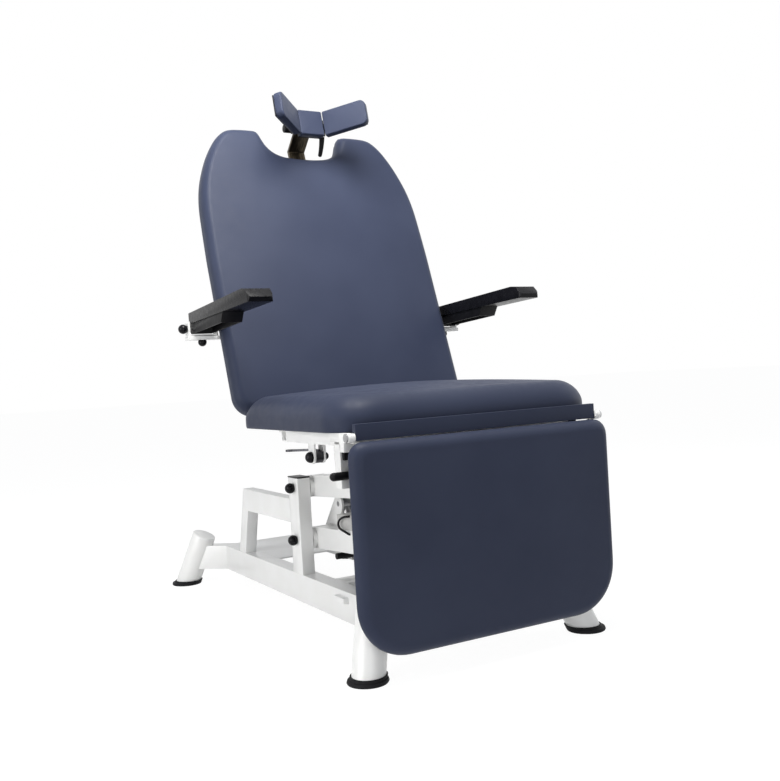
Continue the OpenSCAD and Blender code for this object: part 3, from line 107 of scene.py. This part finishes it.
def mottle(tree, place, size_mm, detail, low, high, low_at=0.35, high_at=0.65):
    """A soft noise of about that size, turned to a value between low and high."""
    cloud = node(tree, "ShaderNodeTexNoise", {"Scale": 1000 / size_mm, "Detail": detail}, {"Vector": place})
    ends = {"From Min": low_at, "From Max": high_at, "To Min": low, "To Max": high}
    return node(tree, "ShaderNodeMapRange", ends, {"Value": cloud.outputs["Fac"]}).outputs[0]


def moulded(name, dark, light, rough, grain_mm, depth_mm):
    """A moulded plastic or rubber, faintly cloudy between two tones, with a grain of that size and depth."""
    made, tree, shader = surface(name)
    shader.inputs["Specular IOR Level"].default_value = 0.14
    place = node(tree, "ShaderNodeTexCoord").outputs["Object"]
    tint = node(tree, "ShaderNodeMix", {"data_type": "RGBA", 6: srgb(dark), 7: srgb(light)},
                {0: mottle(tree, place, size_mm=14, detail=3, low=0, high=1)})
    tree.links.new(tint.outputs[2], shader.inputs["Base Color"])
    dull = mottle(tree, place, size_mm=9, detail=4, low=rough - 0.05, high=rough + 0.05)
    tree.links.new(dull, shader.inputs["Roughness"])
    grain = node(tree, "ShaderNodeTexNoise", {"Scale": 1000 / grain_mm, "Detail": 2.0}, {"Vector": place})
    bump = node(tree, "ShaderNodeBump", {"Strength": 0.3, "Distance": depth_mm * MM},
                {"Height": grain.outputs["Fac"]})
    tree.links.new(bump.outputs[0], shader.inputs["Normal"])
    return made


def select_only(piece):
    bpy.ops.object.select_all(action="DESELECT")
    piece.select_set(True)
    bpy.context.view_layer.objects.active = piece


def leaning(x, y, z, start_y, start_z, degrees):
    """A point given along and across something that leans by that angle from its start."""
    c, s = math.cos(math.radians(degrees)), math.sin(math.radians(degrees))
    return at(x, start_y + y * c + z * s, start_z - y * s + z * c)


rubber = moulded("black_rubber", "0F0F12", "17171A", rough=0.6, grain_mm=1.6, depth_mm=0.15)
LEAD_D = 4.9
ARM_START_Y = 481
ARM_START_Z = 187
ARM_LEAN = 3.5
LEAD_ROUTE = ((-131, -196, 57), (-134, -196, 57), (-137.5, -194, 57), (-138.5, -188, 56.5),
              (-138.8, -180, 55), (-139, -172, 53), (-139, -164, 50), (-139, -157, 46), (-139, -153, 40.5),
              (-139, -154, 35), (-139, -159, 30.5), (-139, -167, 27.5), (-139, -176, 25.5),
              (-138.8, -184, 24), (-138.3, -190, 22), (-136.5, -193, 20), (-134, -194, 18.5),
              (-132, -194, 18))
lead_line = bpy.data.curves.new("control_box_lead", "CURVE")
lead_line.dimensions = "3D"
lead_line.bevel_depth = LEAD_D / 2 * MM
lead_line.bevel_resolution = 6
strand = lead_line.splines.new("NURBS")
strand.points.add(len(LEAD_ROUTE) - 1)
for knot, (x, y, z) in zip(strand.points, LEAD_ROUTE):
    knot.co = (*leaning(x, y, z, ARM_START_Y, ARM_START_Z, ARM_LEAN), 1)
strand.use_endpoint_u = True
strand.order_u = 4
lead = bpy.data.objects.new("control_box_lead", lead_line)
scene.collection.objects.link(lead)
select_only(lead)
bpy.ops.object.convert(target="MESH")
lead = bpy.context.object
bpy.ops.object.shade_smooth()
lead.data.materials.append(rubber)
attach(lead, "lower_arms")
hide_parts("motor_cable")


# The studio: a plain white sweep, a large soft lamp at the sitter's right and a small one high in front.
# The lamps low in front and on the far side are weak, so that the upright pads stay deep navy.
def lamp(name, place, aim, size, watts, colour):
    data = bpy.data.lights.new(name, "AREA")
    data.size = size
    data.energy = watts
    data.color = srgb(colour)[:3]
    lamp_object = bpy.data.objects.new(name, data)
    scene.collection.objects.link(lamp_object)
    lamp_object.location = place
    lamp_object.rotation_euler = (Vector(aim) - Vector(place)).to_track_quat("-Z", "Y").to_euler()


lamp("side_lamp", place=(-3.4, -0.6, 0.95), aim=(0, 0, 0.5), size=2.2, watts=56, colour="FFFFFF")
lamp("high_lamp", place=(-0.3, -0.55, 1.95), aim=(0, 0.3, 1.1), size=0.8, watts=44, colour="FFFEFB")
lamp("front_lamp", place=(-0.9, -3.2, 0.6), aim=(0, 0, 0.4), size=1.5, watts=12, colour="FFFFFF")
lamp("far_side_lamp", place=(3.2, -0.6, 1.8), aim=(0, 0, 0.6), size=2.6, watts=22, colour="F7FAFF")


def seen_or_mirrored(tree):
    """One for rays that come from the camera, or from it by way of metal or glass, and else nought."""
    rays = node(tree, "ShaderNodeLightPath")
    two = node(tree, "ShaderNodeMath", {"operation": "ADD"},
               {0: rays.outputs["Is Camera Ray"], 1: rays.outputs["Is Glossy Ray"]})
    return node(tree, "ShaderNodeMath", {"operation": "ADD", "use_clamp": True},
                {0: two.outputs[0], 1: rays.outputs["Is Transmission Ray"]}).outputs[0]


world = bpy.data.worlds.new("studio")
scene.world = world
world.use_nodes = True
tree = world.node_tree
tree.nodes.clear()
backdrop = node(tree, "ShaderNodeBackground", {"Color": srgb("FFFFFF"), "Strength": 1.0})
ambient = node(tree, "ShaderNodeBackground", {"Color": srgb("F1F4F9"), "Strength": 0.27})
choice = node(tree, "ShaderNodeMixShader", None,
              {"Fac": seen_or_mirrored(tree), 1: ambient.outputs[0], 2: backdrop.outputs[0]})
node(tree, "ShaderNodeOutputWorld", None, {"Surface": choice.outputs[0]})
scene.view_settings.view_transform = "Standard"

bpy.ops.mesh.primitive_plane_add(size=60, location=(0, 0, 0))
floor = bpy.context.object
floor.name = "studio_floor"
paper = bpy.data.materials.new("white_studio_paper")
paper.use_nodes = True
tree = paper.node_tree
tree.nodes.clear()
sheet = node(tree, "ShaderNodeBsdfDiffuse", {"Color": srgb("EFEFEF")})
glow = node(tree, "ShaderNodeEmission", {"Color": srgb("FFFFFF"), "Strength": 1.12})
share = node(tree, "ShaderNodeMath", {"operation": "MULTIPLY", 1: 0.85}, {0: seen_or_mirrored(tree)})
blend = node(tree, "ShaderNodeMixShader", None,
             {"Fac": share.outputs[0], 1: sheet.outputs[0], 2: glow.outputs[0]})
node(tree, "ShaderNodeOutputMaterial", None, {"Surface": blend.outputs[0]})
floor.data.materials.append(paper)


# The two base rails: 40 by 64 mm steel tube, bent out near each end and welded to the leg tubes.
# Like all the frames they are powder-coated glossy white, a film that rounds every edge a little
# and shows a faint orange peel in its highlights.
white_paint, tree, shader = surface("white_powder_coat")
place = node(tree, "ShaderNodeTexCoord").outputs["Object"]
tint = node(tree, "ShaderNodeMix", {"data_type": "RGBA", 6: srgb("F1F1F0"), 7: srgb("EDEDEB")},
            {0: mottle(tree, place, size_mm=60, detail=3, low=0, high=1)})
tree.links.new(tint.outputs[2], shader.inputs["Base Color"])
tree.links.new(mottle(tree, place, size_mm=25, detail=4, low=0.3, high=0.38), shader.inputs["Roughness"])
shader.inputs["Coat Weight"].default_value = 0.3
shader.inputs["Coat Roughness"].default_value = 0.15
peel = node(tree, "ShaderNodeTexNoise", {"Scale": 1000 / 2.4, "Detail": 1.0}, {"Vector": place})
bump = node(tree, "ShaderNodeBump", {"Strength": 0.04, "Distance": 0.2 * MM}, {"Height": peel.outputs["Fac"]})
tree.links.new(bump.outputs[0], shader.inputs["Normal"])

body_of = {name: body for body, names in frame["record"]["behaviour"]["bodies"].items() for name in names}
MERGE_MM = 0.01
FLAT_DEGREES = 0.6
SMOOTH_DEGREES = 38


def finished(name, material, edge_mm, steps=3, sharp=40):
    """A CAD node's shape with its corners rounded as the real stock or moulding has them."""
    piece = bpy.data.objects.new(name + "_finished", nodes[name].data.copy())
    scene.collection.objects.link(piece)
    select_only(piece)
    bpy.ops.object.mode_set(mode="EDIT")
    bpy.ops.mesh.select_all(action="SELECT")
    bpy.ops.mesh.remove_doubles(threshold=MERGE_MM * MM)
    bpy.ops.mesh.dissolve_limited(angle_limit=math.radians(FLAT_DEGREES))
    bpy.ops.object.mode_set(mode="OBJECT")
    rounding = piece.modifiers.new("rounding", "BEVEL")
    rounding.width = edge_mm * MM
    rounding.segments = steps
    rounding.limit_method = "ANGLE"
    rounding.angle_limit = math.radians(sharp)
    bpy.ops.object.modifier_apply(modifier="rounding")
    bpy.ops.object.shade_smooth_by_angle(angle=math.radians(SMOOTH_DEGREES))
    piece.data.materials.clear()
    piece.data.materials.append(material)
    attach(piece, body_of[name])
    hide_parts(name)
    return piece


finished("base_rails", white_paint, edge_mm=3.0, steps=4)


# The front cross-beam, a tube that carries the motor's lugs, and the wide folded deck at the rear.
# Both are welded between the rails and flush with their tops.
finished("cross_beams", white_paint, edge_mm=2.0)


# The four leg tubes: round tube, splayed and leaning outwards, closed on top by a welded cap.
# Each passes through the bent end of a rail.
finished("leg_tubes", white_paint, edge_mm=1.2)


# The rubber feet: a round flange on the floor with a sleeve drawn over the tube's end.
# Moulded black rubber, dull, with a fine grain.
finished("rubber_feet", rubber, edge_mm=1.0)


# The two uprights: 30 by 54 mm steel tube, welded on the rails and powder-coated with them.
# Each is drilled through for the bolts of the lower and the upper arm.
finished("uprights", white_paint, edge_mm=2.5)


# The plugs that close the uprights' open tops, pressed in.
# Black glass-filled nylon, moulded with a fine spark grain.
nylon = moulded("black_nylon", "0E0E10", "141417", rough=0.4, grain_mm=1.0, depth_mm=0.1)
finished("upright_plugs", nylon, edge_mm=0.8)


# The rear braces: a level tube from each upright and a leaning post down to the rail.
# The two are mitred and welded, and painted with the base.
finished("rear_braces", white_paint, edge_mm=2.5)


# The arms' pivot bolts, which end under the domed caps, and the pins of the motor and its crank.
# Turned and ground steel, a little dull along the cut.
steel, tree, shader = surface("ground_steel")
place = node(tree, "ShaderNodeTexCoord").outputs["Object"]
shader.inputs["Metallic"].default_value = 1.0
tint = node(tree, "ShaderNodeMix", {"data_type": "RGBA", 6: srgb("B4B4B5"), 7: srgb("98989A")},
            {0: mottle(tree, place, size_mm=12, detail=4, low=0, high=1)})
tree.links.new(tint.outputs[2], shader.inputs["Base Color"])
tree.links.new(mottle(tree, place, size_mm=3, detail=5, low=0.26, high=0.42), shader.inputs["Roughness"])


def paint(material, *names):
    """Gives CAD nodes a material of this scene in place of the plain packed one."""
    for name in names:
        nodes[name].data.materials.clear()
        nodes[name].data.materials.append(material)


paint(steel, "base_pins", "crank_pin")


# The domed caps over the bolts' ends: glossy black nylon, pressed on.
# The same make of cap closes the seat's pins and the armrests' bolts.
cap_gloss = moulded("glossy_black_nylon", "0B0B0F", "0F0F14", rough=0.22, grain_mm=2.0, depth_mm=0.04)
for name in ("rear_pivot_caps", "seat_pin_caps", "armrest_caps"):
    finished(name, cap_gloss, edge_mm=1.2)


# The lower pair of lift arms: two tubes joined by a pivot tube at each end.
# The lower pair also carries the crank plates that the motor pushes and the control box's plate.
finished("lower_arms", white_paint, edge_mm=1.5)
paint(steel, "lower_arm_bushes", "upper_arm_bushes")


# The control box: a light grey case with three louvres in its side, screwed to the arms' plate.
# Moulded ABS with a fine grain and softly rounded edges.
grey_case = moulded("light_grey_abs", "C2C1BF", "BAB9B7", rough=0.48, grain_mm=1.4, depth_mm=0.12)
finished("control_box", grey_case, edge_mm=3.0, steps=4)


# The upper pair of lift arms: the same steel tubes and the same paint as the lower pair.
# A pivot tube joins them at the front end only, which leaves room for the motor.
finished("upper_arms", white_paint, edge_mm=1.5)


# The lift motor: a gear housing with the motor can beside its outer tube, and its steel rod.
# Cast and enamelled black, with a moulded nylon plug for the lead.
black_enamel = moulded("black_enamel", "131316", "18181B", rough=0.3, grain_mm=3.0, depth_mm=0.05)
finished("lift_motor", black_enamel, edge_mm=1.5)
finished("motor_plug", nylon, edge_mm=1.0)
paint(steel, "lift_rod")


# The carriage: two plates that hang under the seat and carry the arms' front pivots.
# Laser-cut steel, joined by a welded tube and painted like the frames.
finished("carriage", white_paint, edge_mm=1.2)


# The seat frame: two main rails, side rails and cross tubes, with the stop posts and hinge plates.
# Lugs under it take the gas spring, the release lever and the grip lever.
finished("seat_frame", white_paint, edge_mm=1.2)
paint(steel, "seat_pins")


# The seat: moulded foam on a 10 mm plywood board, under one drawn skin of navy leatherette.
# The skin has a fine pebble and a soft sheen, shows no seam, and is pulled over the board's edge.
leatherette, tree, shader = surface("navy_leatherette")
place = node(tree, "ShaderNodeTexCoord").outputs["Object"]
tint = node(tree, "ShaderNodeMix", {"data_type": "RGBA", 6: srgb("2F3548"), 7: srgb("2B3144")},
            {0: mottle(tree, place, size_mm=160, detail=2, low=0, high=1)})
tree.links.new(tint.outputs[2], shader.inputs["Base Color"])
tree.links.new(mottle(tree, place, size_mm=18, detail=4, low=0.46, high=0.54), shader.inputs["Roughness"])
shader.inputs["Specular IOR Level"].default_value = 0.15
shader.inputs["Sheen Weight"].default_value = 0.03
shader.inputs["Sheen Roughness"].default_value = 0.45
pebble = node(tree, "ShaderNodeTexVoronoi", {"Scale": 1000 / 1.4, "feature": "SMOOTH_F1"}, {"Vector": place})
dimple = node(tree, "ShaderNodeBump", {"Strength": 0.14, "Distance": 0.12 * MM},
              {"Height": pebble.outputs[0]})
tree.links.new(dimple.outputs[0], shader.inputs["Normal"])


def arc(cx, cy, radius, start, steps):
    return [(cx + radius * math.cos(math.radians(start + 90 * i / steps)),
             cy + radius * math.sin(math.radians(start + 90 * i / steps))) for i in range(steps + 1)]


def rounded_oblong(x0, x1, y0, y1, low, high, steps=12):
    return (arc(x1 - low, y0 + low, low, -90, steps) + arc(x1 - high, y1 - high, high, 0, steps)
            + arc(x0 + high, y1 - high, high, 90, steps) + arc(x0 + low, y0 + low, low, 180, steps))


def evened(outline, count):
    """The closed outline again, as that many points at equal distances."""
    steps = [math.dist(outline[i], outline[(i + 1) % len(outline)]) for i in range(len(outline))]
    total = sum(steps)
    points, i, run = [], 0, 0.0
    for k in range(count):
        want = total * k / count
        while run + steps[i] < want:
            run += steps[i]
            i += 1
        share = (want - run) / steps[i] if steps[i] else 0
        a, b = outline[i], outline[(i + 1) % len(outline)]
        points.append((a[0] + (b[0] - a[0]) * share, a[1] + (b[1] - a[1]) * share))
    return points


def pulled_in(outline, depth):
    """Each point moved inwards along the outline's own normal, for an outline that runs anticlockwise."""
    count = len(outline)
    moved = []
    for i, (x, y) in enumerate(outline):
        before, after = outline[i - 2], outline[(i + 2) % count]
        along = Vector((after[0] - before[0], after[1] - before[1])).normalized()
        moved.append((x - along.y * depth, y + along.x * depth))
    return moved


def relaxed(ring, times):
    """The ring with its corners eased, as drawn foam and skin ease them."""
    for _ in range(times):
        after = ring[1:] + ring[:1]
        before = ring[-1:] + ring[:-1]
        ring = [((a[0] + 2 * b[0] + c[0]) / 4, (a[1] + 2 * b[1] + c[1]) / 4)
                for a, b, c in zip(before, ring, after)]
    return ring


# How a skin comes round the edge, as pairs of depth inside the outline and height over its backing.
WRAP = ((3.7, 0.4), (3.7, -8.6), (2.8, -9.8), (1.4, -9.2), (0.6, -7), (0.1, -3), (0, 2))
PLAIN = ((4.5, 0), (3.0, 0.8), (1.2, 2.8), (0.3, 6))
BACK_AT = 0.4
BACK_IN = 8
ROLL_OVER_RIM = 1.5
ROLL_STEPS = 16
CROWN_STEPS = 12
CROWN_EASE = 40


def upholstered(name, body, replaced, outline, middle, thick, edge_in, edge_high, crown, put,
                count=168, rim=WRAP, ease=0.5):
    """A moulded pad: its skin comes round the board's edge, rolls over the side and runs into a low crown."""
    outline = evened(outline, count)
    rings = [[(x, y, BACK_AT) for x, y in pulled_in(outline, rim[0][0] + BACK_IN)]]
    rings += [[(x, y, h) for x, y in pulled_in(outline, depth)] for depth, h in rim]
    base = max(thick - edge_high, rim[-1][1] + ROLL_OVER_RIM)
    for i in range(ROLL_STEPS + 1):
        angle = math.radians(90 * i / ROLL_STEPS)
        depth = edge_in * (1 - math.cos(angle))
        inner = relaxed(pulled_in(outline, depth), round(depth * ease))
        rings.append([(x, y, base + (thick - base) * math.sin(angle)) for x, y in inner])
    for i in range(1, CROWN_STEPS):
        share = 1 - i / CROWN_STEPS
        inner = relaxed(inner, round(CROWN_EASE * ease))
        rings.append([(middle[0] + (x - middle[0]) * share, middle[1] + (y - middle[1]) * share,
                       thick + crown * (1 - share ** 2)) for x, y in inner])
    points = [p for ring in rings for p in ring]
    points += [(middle[0], middle[1], BACK_AT), (middle[0], middle[1], thick + crown)]
    faces = []
    for j in range(len(rings) - 1):
        for i in range(count):
            a, b = j * count + i, j * count + (i + 1) % count
            faces.append((a, b, b + count, a + count))
    last = (len(rings) - 1) * count
    faces += [((i + 1) % count, i, len(points) - 2) for i in range(count)]
    faces += [(last + i, last + (i + 1) % count, len(points) - 1) for i in range(count)]
    mesh = bpy.data.meshes.new(name)
    mesh.from_pydata([put(*p) for p in points], [], faces)
    pad = bpy.data.objects.new(name, mesh)
    scene.collection.objects.link(pad)
    select_only(pad)
    bpy.ops.object.mode_set(mode="EDIT")
    bpy.ops.mesh.select_all(action="SELECT")
    bpy.ops.mesh.normals_make_consistent(inside=False)
    bpy.ops.object.mode_set(mode="OBJECT")
    bpy.ops.object.shade_smooth()
    pad.data.materials.append(leatherette)
    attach(pad, body)
    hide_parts(*replaced)


PAD_W = 600
SEAT_FRONT = -28
SEAT_LONG = 484
SEAT_BOARD_TOP = 465
SEAT_FRONT_CORNER = 76
SEAT_REAR_CORNER = 34
finished("seat_board", leatherette, edge_mm=1.5, steps=3)
seat_outline = rounded_oblong(-PAD_W / 2, PAD_W / 2, SEAT_FRONT, SEAT_FRONT + SEAT_LONG,
                              SEAT_FRONT_CORNER, SEAT_REAR_CORNER)
upholstered("seat_cushion_skin", "seat", ["seat_cushion"], seat_outline, (0, SEAT_FRONT + SEAT_LONG / 2),
            thick=58, edge_in=50, edge_high=50, crown=14, put=lambda x, y, h: at(x, y, SEAT_BOARD_TOP + h))


# The strip across the seat's front: a 12 mm board screwed to the seat's frame.
# It is covered in the same leatherette, drawn over eased edges.
finished("front_strip", leatherette, edge_mm=3.2, steps=4)


# The bumpers on the stop posts, which the leg rest comes to rest against.
# Moulded from the same black rubber as the feet, and pushed on to the posts.
finished("rubber_bumpers", rubber, edge_mm=2.0)


# The release lever in its clevis under the side rail, cut from blackened steel.
# The grip lever below it is ground steel and ends in a black moulded grip.
dark_steel, tree, shader = surface("blackened_steel")
place = node(tree, "ShaderNodeTexCoord").outputs["Object"]
shader.inputs["Metallic"].default_value = 1.0
tint = node(tree, "ShaderNodeMix", {"data_type": "RGBA", 6: srgb("5A5A5E"), 7: srgb("47474B")},
            {0: mottle(tree, place, size_mm=12, detail=4, low=0, high=1)})
tree.links.new(tint.outputs[2], shader.inputs["Base Color"])
tree.links.new(mottle(tree, place, size_mm=6, detail=4, low=0.34, high=0.46), shader.inputs["Roughness"])
paint(dark_steel, "release_lever")
paint(steel, "grip_lever")
finished("lever_grip", nylon, edge_mm=2.0)


# The backrest's frame: two tubes, two cross tubes and the gas spring's levers.
# Welded steel with the white powder coat, turning on two ground steel pins.
finished("backrest_frame", white_paint, edge_mm=1.2)
paint(steel, "backrest_pins")


# The backrest's gas spring, between the seat's frame and the backrest's levers.
# A drawn steel tube enamelled black, with a ground rod.
finished("back_spring_tube", black_enamel, edge_mm=1.0)
paint(steel, "back_spring_rod")


# The backrest: a tall moulded pad on its board, in the same leatherette as the seat.
# It has two rounded ears and the notch that the headrest stands in, and ends a little above the solid.
EAR_SHARES = ((1, 0), (0.993, 0.22), (0.983, 0.4), (0.957, 0.54), (0.917, 0.655), (0.86, 0.775),
              (0.787, 0.885), (0.715, 0.955), (0.63, 0.992))
NOTCH_SHARES = ((1.15, 0.985), (1.055, 0.87), (1.0, 0.7), (0.945, 0.49), (0.83, 0.25), (0.62, 0.08),
                (0.33, 0.015), (0, 0))
BACK_HINGE_Y = 455
BACK_HINGE_Z = 480
BACK_LEAN = 19
BACK_LOW = 10
BACK_SIDE = 400
BACK_RAISED = 5
BACK_TOP = 752 + BACK_RAISED
BACK_CORNER = 46
BACK_PAD = 34
NOTCH_W = 214
NOTCH_D = 75


def smooth_line(knots, steps):
    """A Catmull-Rom curve through the knots, without its last point."""
    line = []
    for i in range(len(knots) - 1):
        a, b = knots[max(i - 1, 0)], knots[i]
        c, d = knots[i + 1], knots[min(i + 2, len(knots) - 1)]
        for k in range(steps):
            t = k / steps
            line.append(tuple(0.5 * (2 * b[j] + (c[j] - a[j]) * t
                                     + (2 * a[j] - 5 * b[j] + 4 * c[j] - d[j]) * t * t
                                     + (3 * b[j] - a[j] - 3 * c[j] + d[j]) * t ** 3) for j in (0, 1)))
    return line


half = [(PAD_W / 2 * s[0], BACK_SIDE + s[1] * (BACK_TOP - BACK_SIDE)) for s in EAR_SHARES]
half += [(NOTCH_W / 2 * s[0], BACK_TOP - NOTCH_D + s[1] * NOTCH_D) for s in NOTCH_SHARES]
right_side = arc(PAD_W / 2 - BACK_CORNER, BACK_LOW + BACK_CORNER, BACK_CORNER, start=-90, steps=12)
right_side += smooth_line(half, steps=10)
back_outline = right_side + [half[-1]] + [(-x, s) for x, s in reversed(right_side)]
board = finished("backrest_board", leatherette, edge_mm=1.5, steps=3)
board_up = Vector((0, math.sin(math.radians(BACK_LEAN)), math.cos(math.radians(BACK_LEAN))))


def on_back(x, s, h):
    """A point of the pad: across, up along the board and out from it."""
    return leaning(x, BACK_PAD - h, s, BACK_HINGE_Y, BACK_HINGE_Z, BACK_LEAN)


for vertex in board.data.vertices:
    above = (vertex.co - on_back(0, BACK_SIDE, BACK_PAD)).dot(board_up) / MM
    if above > 0:
        vertex.co += board_up * BACK_RAISED * MM * above / (BACK_TOP - BACK_SIDE)
upholstered("backrest_cushion_skin", "backrest", ["backrest_cushion"], back_outline, (0, BACK_TOP / 2),
            thick=BACK_PAD, edge_in=20, edge_high=26, crown=8, put=on_back, count=360)


# The socket welded across the backrest's frame, which guides the headrest's bar.
# Its star knob is moulded in black nylon.
finished("headrest_socket", white_paint, edge_mm=1.0)
finished("height_knob", nylon, edge_mm=1.5)


# The headrest's flat bar: 45 by 8 mm steel, cranked forward near its top.
# Brushed along its length under a dark bronze lacquer.
bronze, tree, shader = surface("dark_bronze_steel")
place = node(tree, "ShaderNodeTexCoord").outputs["Object"]
shader.inputs["Metallic"].default_value = 0.9
streaks = node(tree, "ShaderNodeMapping", {"Scale": (1, 0.06, 0.06)}, {"Vector": place})
tint = node(tree, "ShaderNodeMix", {"data_type": "RGBA", 6: srgb("5E5546"), 7: srgb("2E2922")},
            {0: mottle(tree, streaks.outputs[0], size_mm=1.6, detail=3, low=0, high=1)})
tree.links.new(tint.outputs[2], shader.inputs["Base Color"])
tree.links.new(mottle(tree, place, size_mm=20, detail=3, low=0.3, high=0.42), shader.inputs["Roughness"])
finished("headrest_bar", bronze, edge_mm=0.8)


# The headrest's tilt: a black cradle that the bar's barrel turns in, with its knob and curved lever.
# The lever is moulded nylon, broad at its hub and tapering down to a rounded end.
finished("headrest_cradle", black_enamel, edge_mm=0.8)
finished("tilt_knob", nylon, edge_mm=2.0)
lever = finished("tilt_lever", nylon, edge_mm=1.2)
# The hub is made longer than the solid's; the arm moves to its end, broader at the top and shorter.
HUB_SHARE = 0.3
BROAD_SHARE = 1.7
TAPER_SHARE = 0.8
ARM_MIDDLE = 8
ARM_MOVED_TO = 2
ARM_SHORTER = 6
HUB_FACE = 2
HUB_LONGER = 3.5
hub_end = max(vertex.co.x for vertex in lever.data.vertices)
lever_top = max(vertex.co.z for vertex in lever.data.vertices)
lever_low = min(vertex.co.z for vertex in lever.data.vertices)
for vertex in lever.data.vertices:
    down = (lever_top - vertex.co.z) / (lever_top - lever_low)
    if down > HUB_SHARE:
        off_middle = vertex.co.x - hub_end + ARM_MIDDLE * MM
        vertex.co.x = hub_end - ARM_MOVED_TO * MM + off_middle * (BROAD_SHARE - TAPER_SHARE * down)
        vertex.co.z += ARM_SHORTER * MM * (down - HUB_SHARE) / (1 - HUB_SHARE)
    elif vertex.co.x > hub_end - HUB_FACE * MM:
        vertex.co.x += HUB_LONGER * MM


# The headrest's middle pad: foam on a steel plate, screwed to the cradle.
# The leatherette is drawn tight round square edges and tucked in at the back.
HEAD_Y = 631.5
HEAD_Z = 1200
HEAD_LEAN = 12.8
HEAD_W = 64
HEAD_H = 66
HEAD_T = 22
HEAD_CORNER = 4
HEAD_SUNK = 0.6
NEAR_PROUD = 1
HEAD_ROLL = {"thick": HEAD_T - HEAD_SUNK, "edge_in": 3, "edge_high": 5, "crown": 1}


def in_head(x, n, z):
    return leaning(x, n, z, HEAD_Y, HEAD_Z, HEAD_LEAN)


head_outline = rounded_oblong(-HEAD_W / 2 - NEAR_PROUD, HEAD_W / 2 + NEAR_PROUD, -HEAD_H / 2, HEAD_H / 2,
                              HEAD_CORNER, HEAD_CORNER, steps=8)
upholstered("headrest_pad_skin", "headrest", ["headrest_pad"], head_outline, (0, 0), **HEAD_ROLL,
            put=lambda x, z, h: in_head(x, HEAD_T - h, z), count=112, rim=PLAIN, ease=0)


# The two wing pads: the same make, on plates hinged to the middle pad's plate.
# Their outer corners are rounder, and at rest they are folded forward.
WING_L = 115
WING_TURN = 46
WING_GAP = 0.8
WING_CORNER = 15
HEAD_PLATE = 3
HINGE_R = 3
WING_N = HEAD_T + HEAD_PLATE + HINGE_R
WING_OFF = WING_N * math.tan(math.radians(WING_TURN / 2))
WING_X = HEAD_W / 2 + WING_GAP + WING_OFF


def in_wing(side):
    """Places a point of a wing: along it, across it and up, with the wing folded forward."""
    c, s = math.cos(math.radians(WING_TURN)), math.sin(math.radians(WING_TURN))

    def put(x, z, h):
        along, across = WING_OFF + WING_L / 2 + x * side, -(HEAD_PLATE + HINGE_R) - h
        return in_head(side * (WING_X + along * c + across * s), WING_N - along * s + across * c, z)
    return put


far_x = WING_L / 2 - WING_CORNER
far_z = HEAD_H / 2 - WING_CORNER
near_x = -WING_L / 2 - NEAR_PROUD + HEAD_CORNER
near_z = HEAD_H / 2 - HEAD_CORNER
left_outline = arc(far_x, -far_z, WING_CORNER, start=-90, steps=8)
left_outline += arc(far_x, far_z, WING_CORNER, start=0, steps=8)
left_outline += arc(near_x, near_z, HEAD_CORNER, start=90, steps=8)
left_outline += arc(near_x, -near_z, HEAD_CORNER, start=180, steps=8)
right_outline = [(-x, z) for x, z in reversed(left_outline)]
for name, side, outline in (("right_wing", -1, right_outline), ("left_wing", 1, left_outline)):
    upholstered(name + "_pad_skin", name, [name + "_pad"], outline, (0, 0), **HEAD_ROLL,
                put=in_wing(side), count=144, rim=PLAIN, ease=0)
    finished(name, black_enamel, edge_mm=0.8)
paint(steel, "wing_pins")


# The flat bars behind the backrest that carry the armrests, and the U brackets on their ends.
# Cut and folded from steel sheet, and powder-coated white.
finished("armrest_bars", white_paint, edge_mm=1.0)
finished("armrest_brackets", white_paint, edge_mm=0.9)


# The armrests: a black nylon shell that turns in the bracket, under a pad of black self-skinned foam.
# The foam is firm, with a satin skin, and its nose slopes down to a thin lip.
skin_foam = moulded("black_skin_foam", "0C0C0F", "121216", rough=0.3, grain_mm=1.8, depth_mm=0.1)
NOSE_DEPTH = 12
LIP_DROP = 6
for side in ("right", "left"):
    finished(side + "_armrest_shell", nylon, edge_mm=2.0)
    cushion = finished(side + "_armrest_pad", skin_foam, edge_mm=3.0, steps=4, sharp=20)
    tip = min(vertex.co.y for vertex in cushion.data.vertices)
    nose = [vertex for vertex in cushion.data.vertices if vertex.co.y < tip + NOSE_DEPTH * MM]
    nose_top = max(vertex.co.z for vertex in nose)
    for vertex in nose:
        if vertex.co.z < nose_top - NOSE_DEPTH * MM:
            vertex.co.z -= LIP_DROP * MM


# The leg rest's frame: flat tubes behind the pad, on two arms that turn on the seat's hinge plates.
# Welded steel with the white powder coat, on ground steel pins.
finished("legrest_frame", white_paint, edge_mm=1.0)
paint(steel, "legrest_pins")


# The leg rest: a thick flat pad on its board, with wide lower corners, hanging from its hinges.
# The leatherette rolls over the front edge, and tucks in behind with a narrower rim.
LEG_HINGE_Y = -37
LEG_HINGE_Z = 447.5
LEG_W = 590
LEG_TOP = -8.3
LEG_LONG = 390
LEG_PAD = 34
LEG_OUT = 30.5
LEG_LOW_CORNER = 100
LEG_HIGH_CORNER = 28
LEG_RIM = ((14.7, 0.4), (14.7, -8.6), (13.8, -9.6), (12.6, -9), (11.6, -5), (10.4, 0.4), (7.2, 3), (3.4, 6.4),
           (1, 10))
finished("legrest_board", leatherette, edge_mm=1.5, steps=3)
leg_outline = rounded_oblong(-LEG_W / 2, LEG_W / 2, LEG_TOP - LEG_LONG, LEG_TOP,
                             LEG_LOW_CORNER, LEG_HIGH_CORNER)
upholstered("legrest_cushion_skin", "leg_rest", ["legrest_cushion"], leg_outline, (0, LEG_TOP - LEG_LONG / 2),
            thick=LEG_PAD, edge_in=22, edge_high=22, crown=8,
            put=lambda x, s, h: at(x, LEG_HINGE_Y + (LEG_PAD - LEG_OUT - h), LEG_HINGE_Z + s),
            count=240, rim=LEG_RIM)
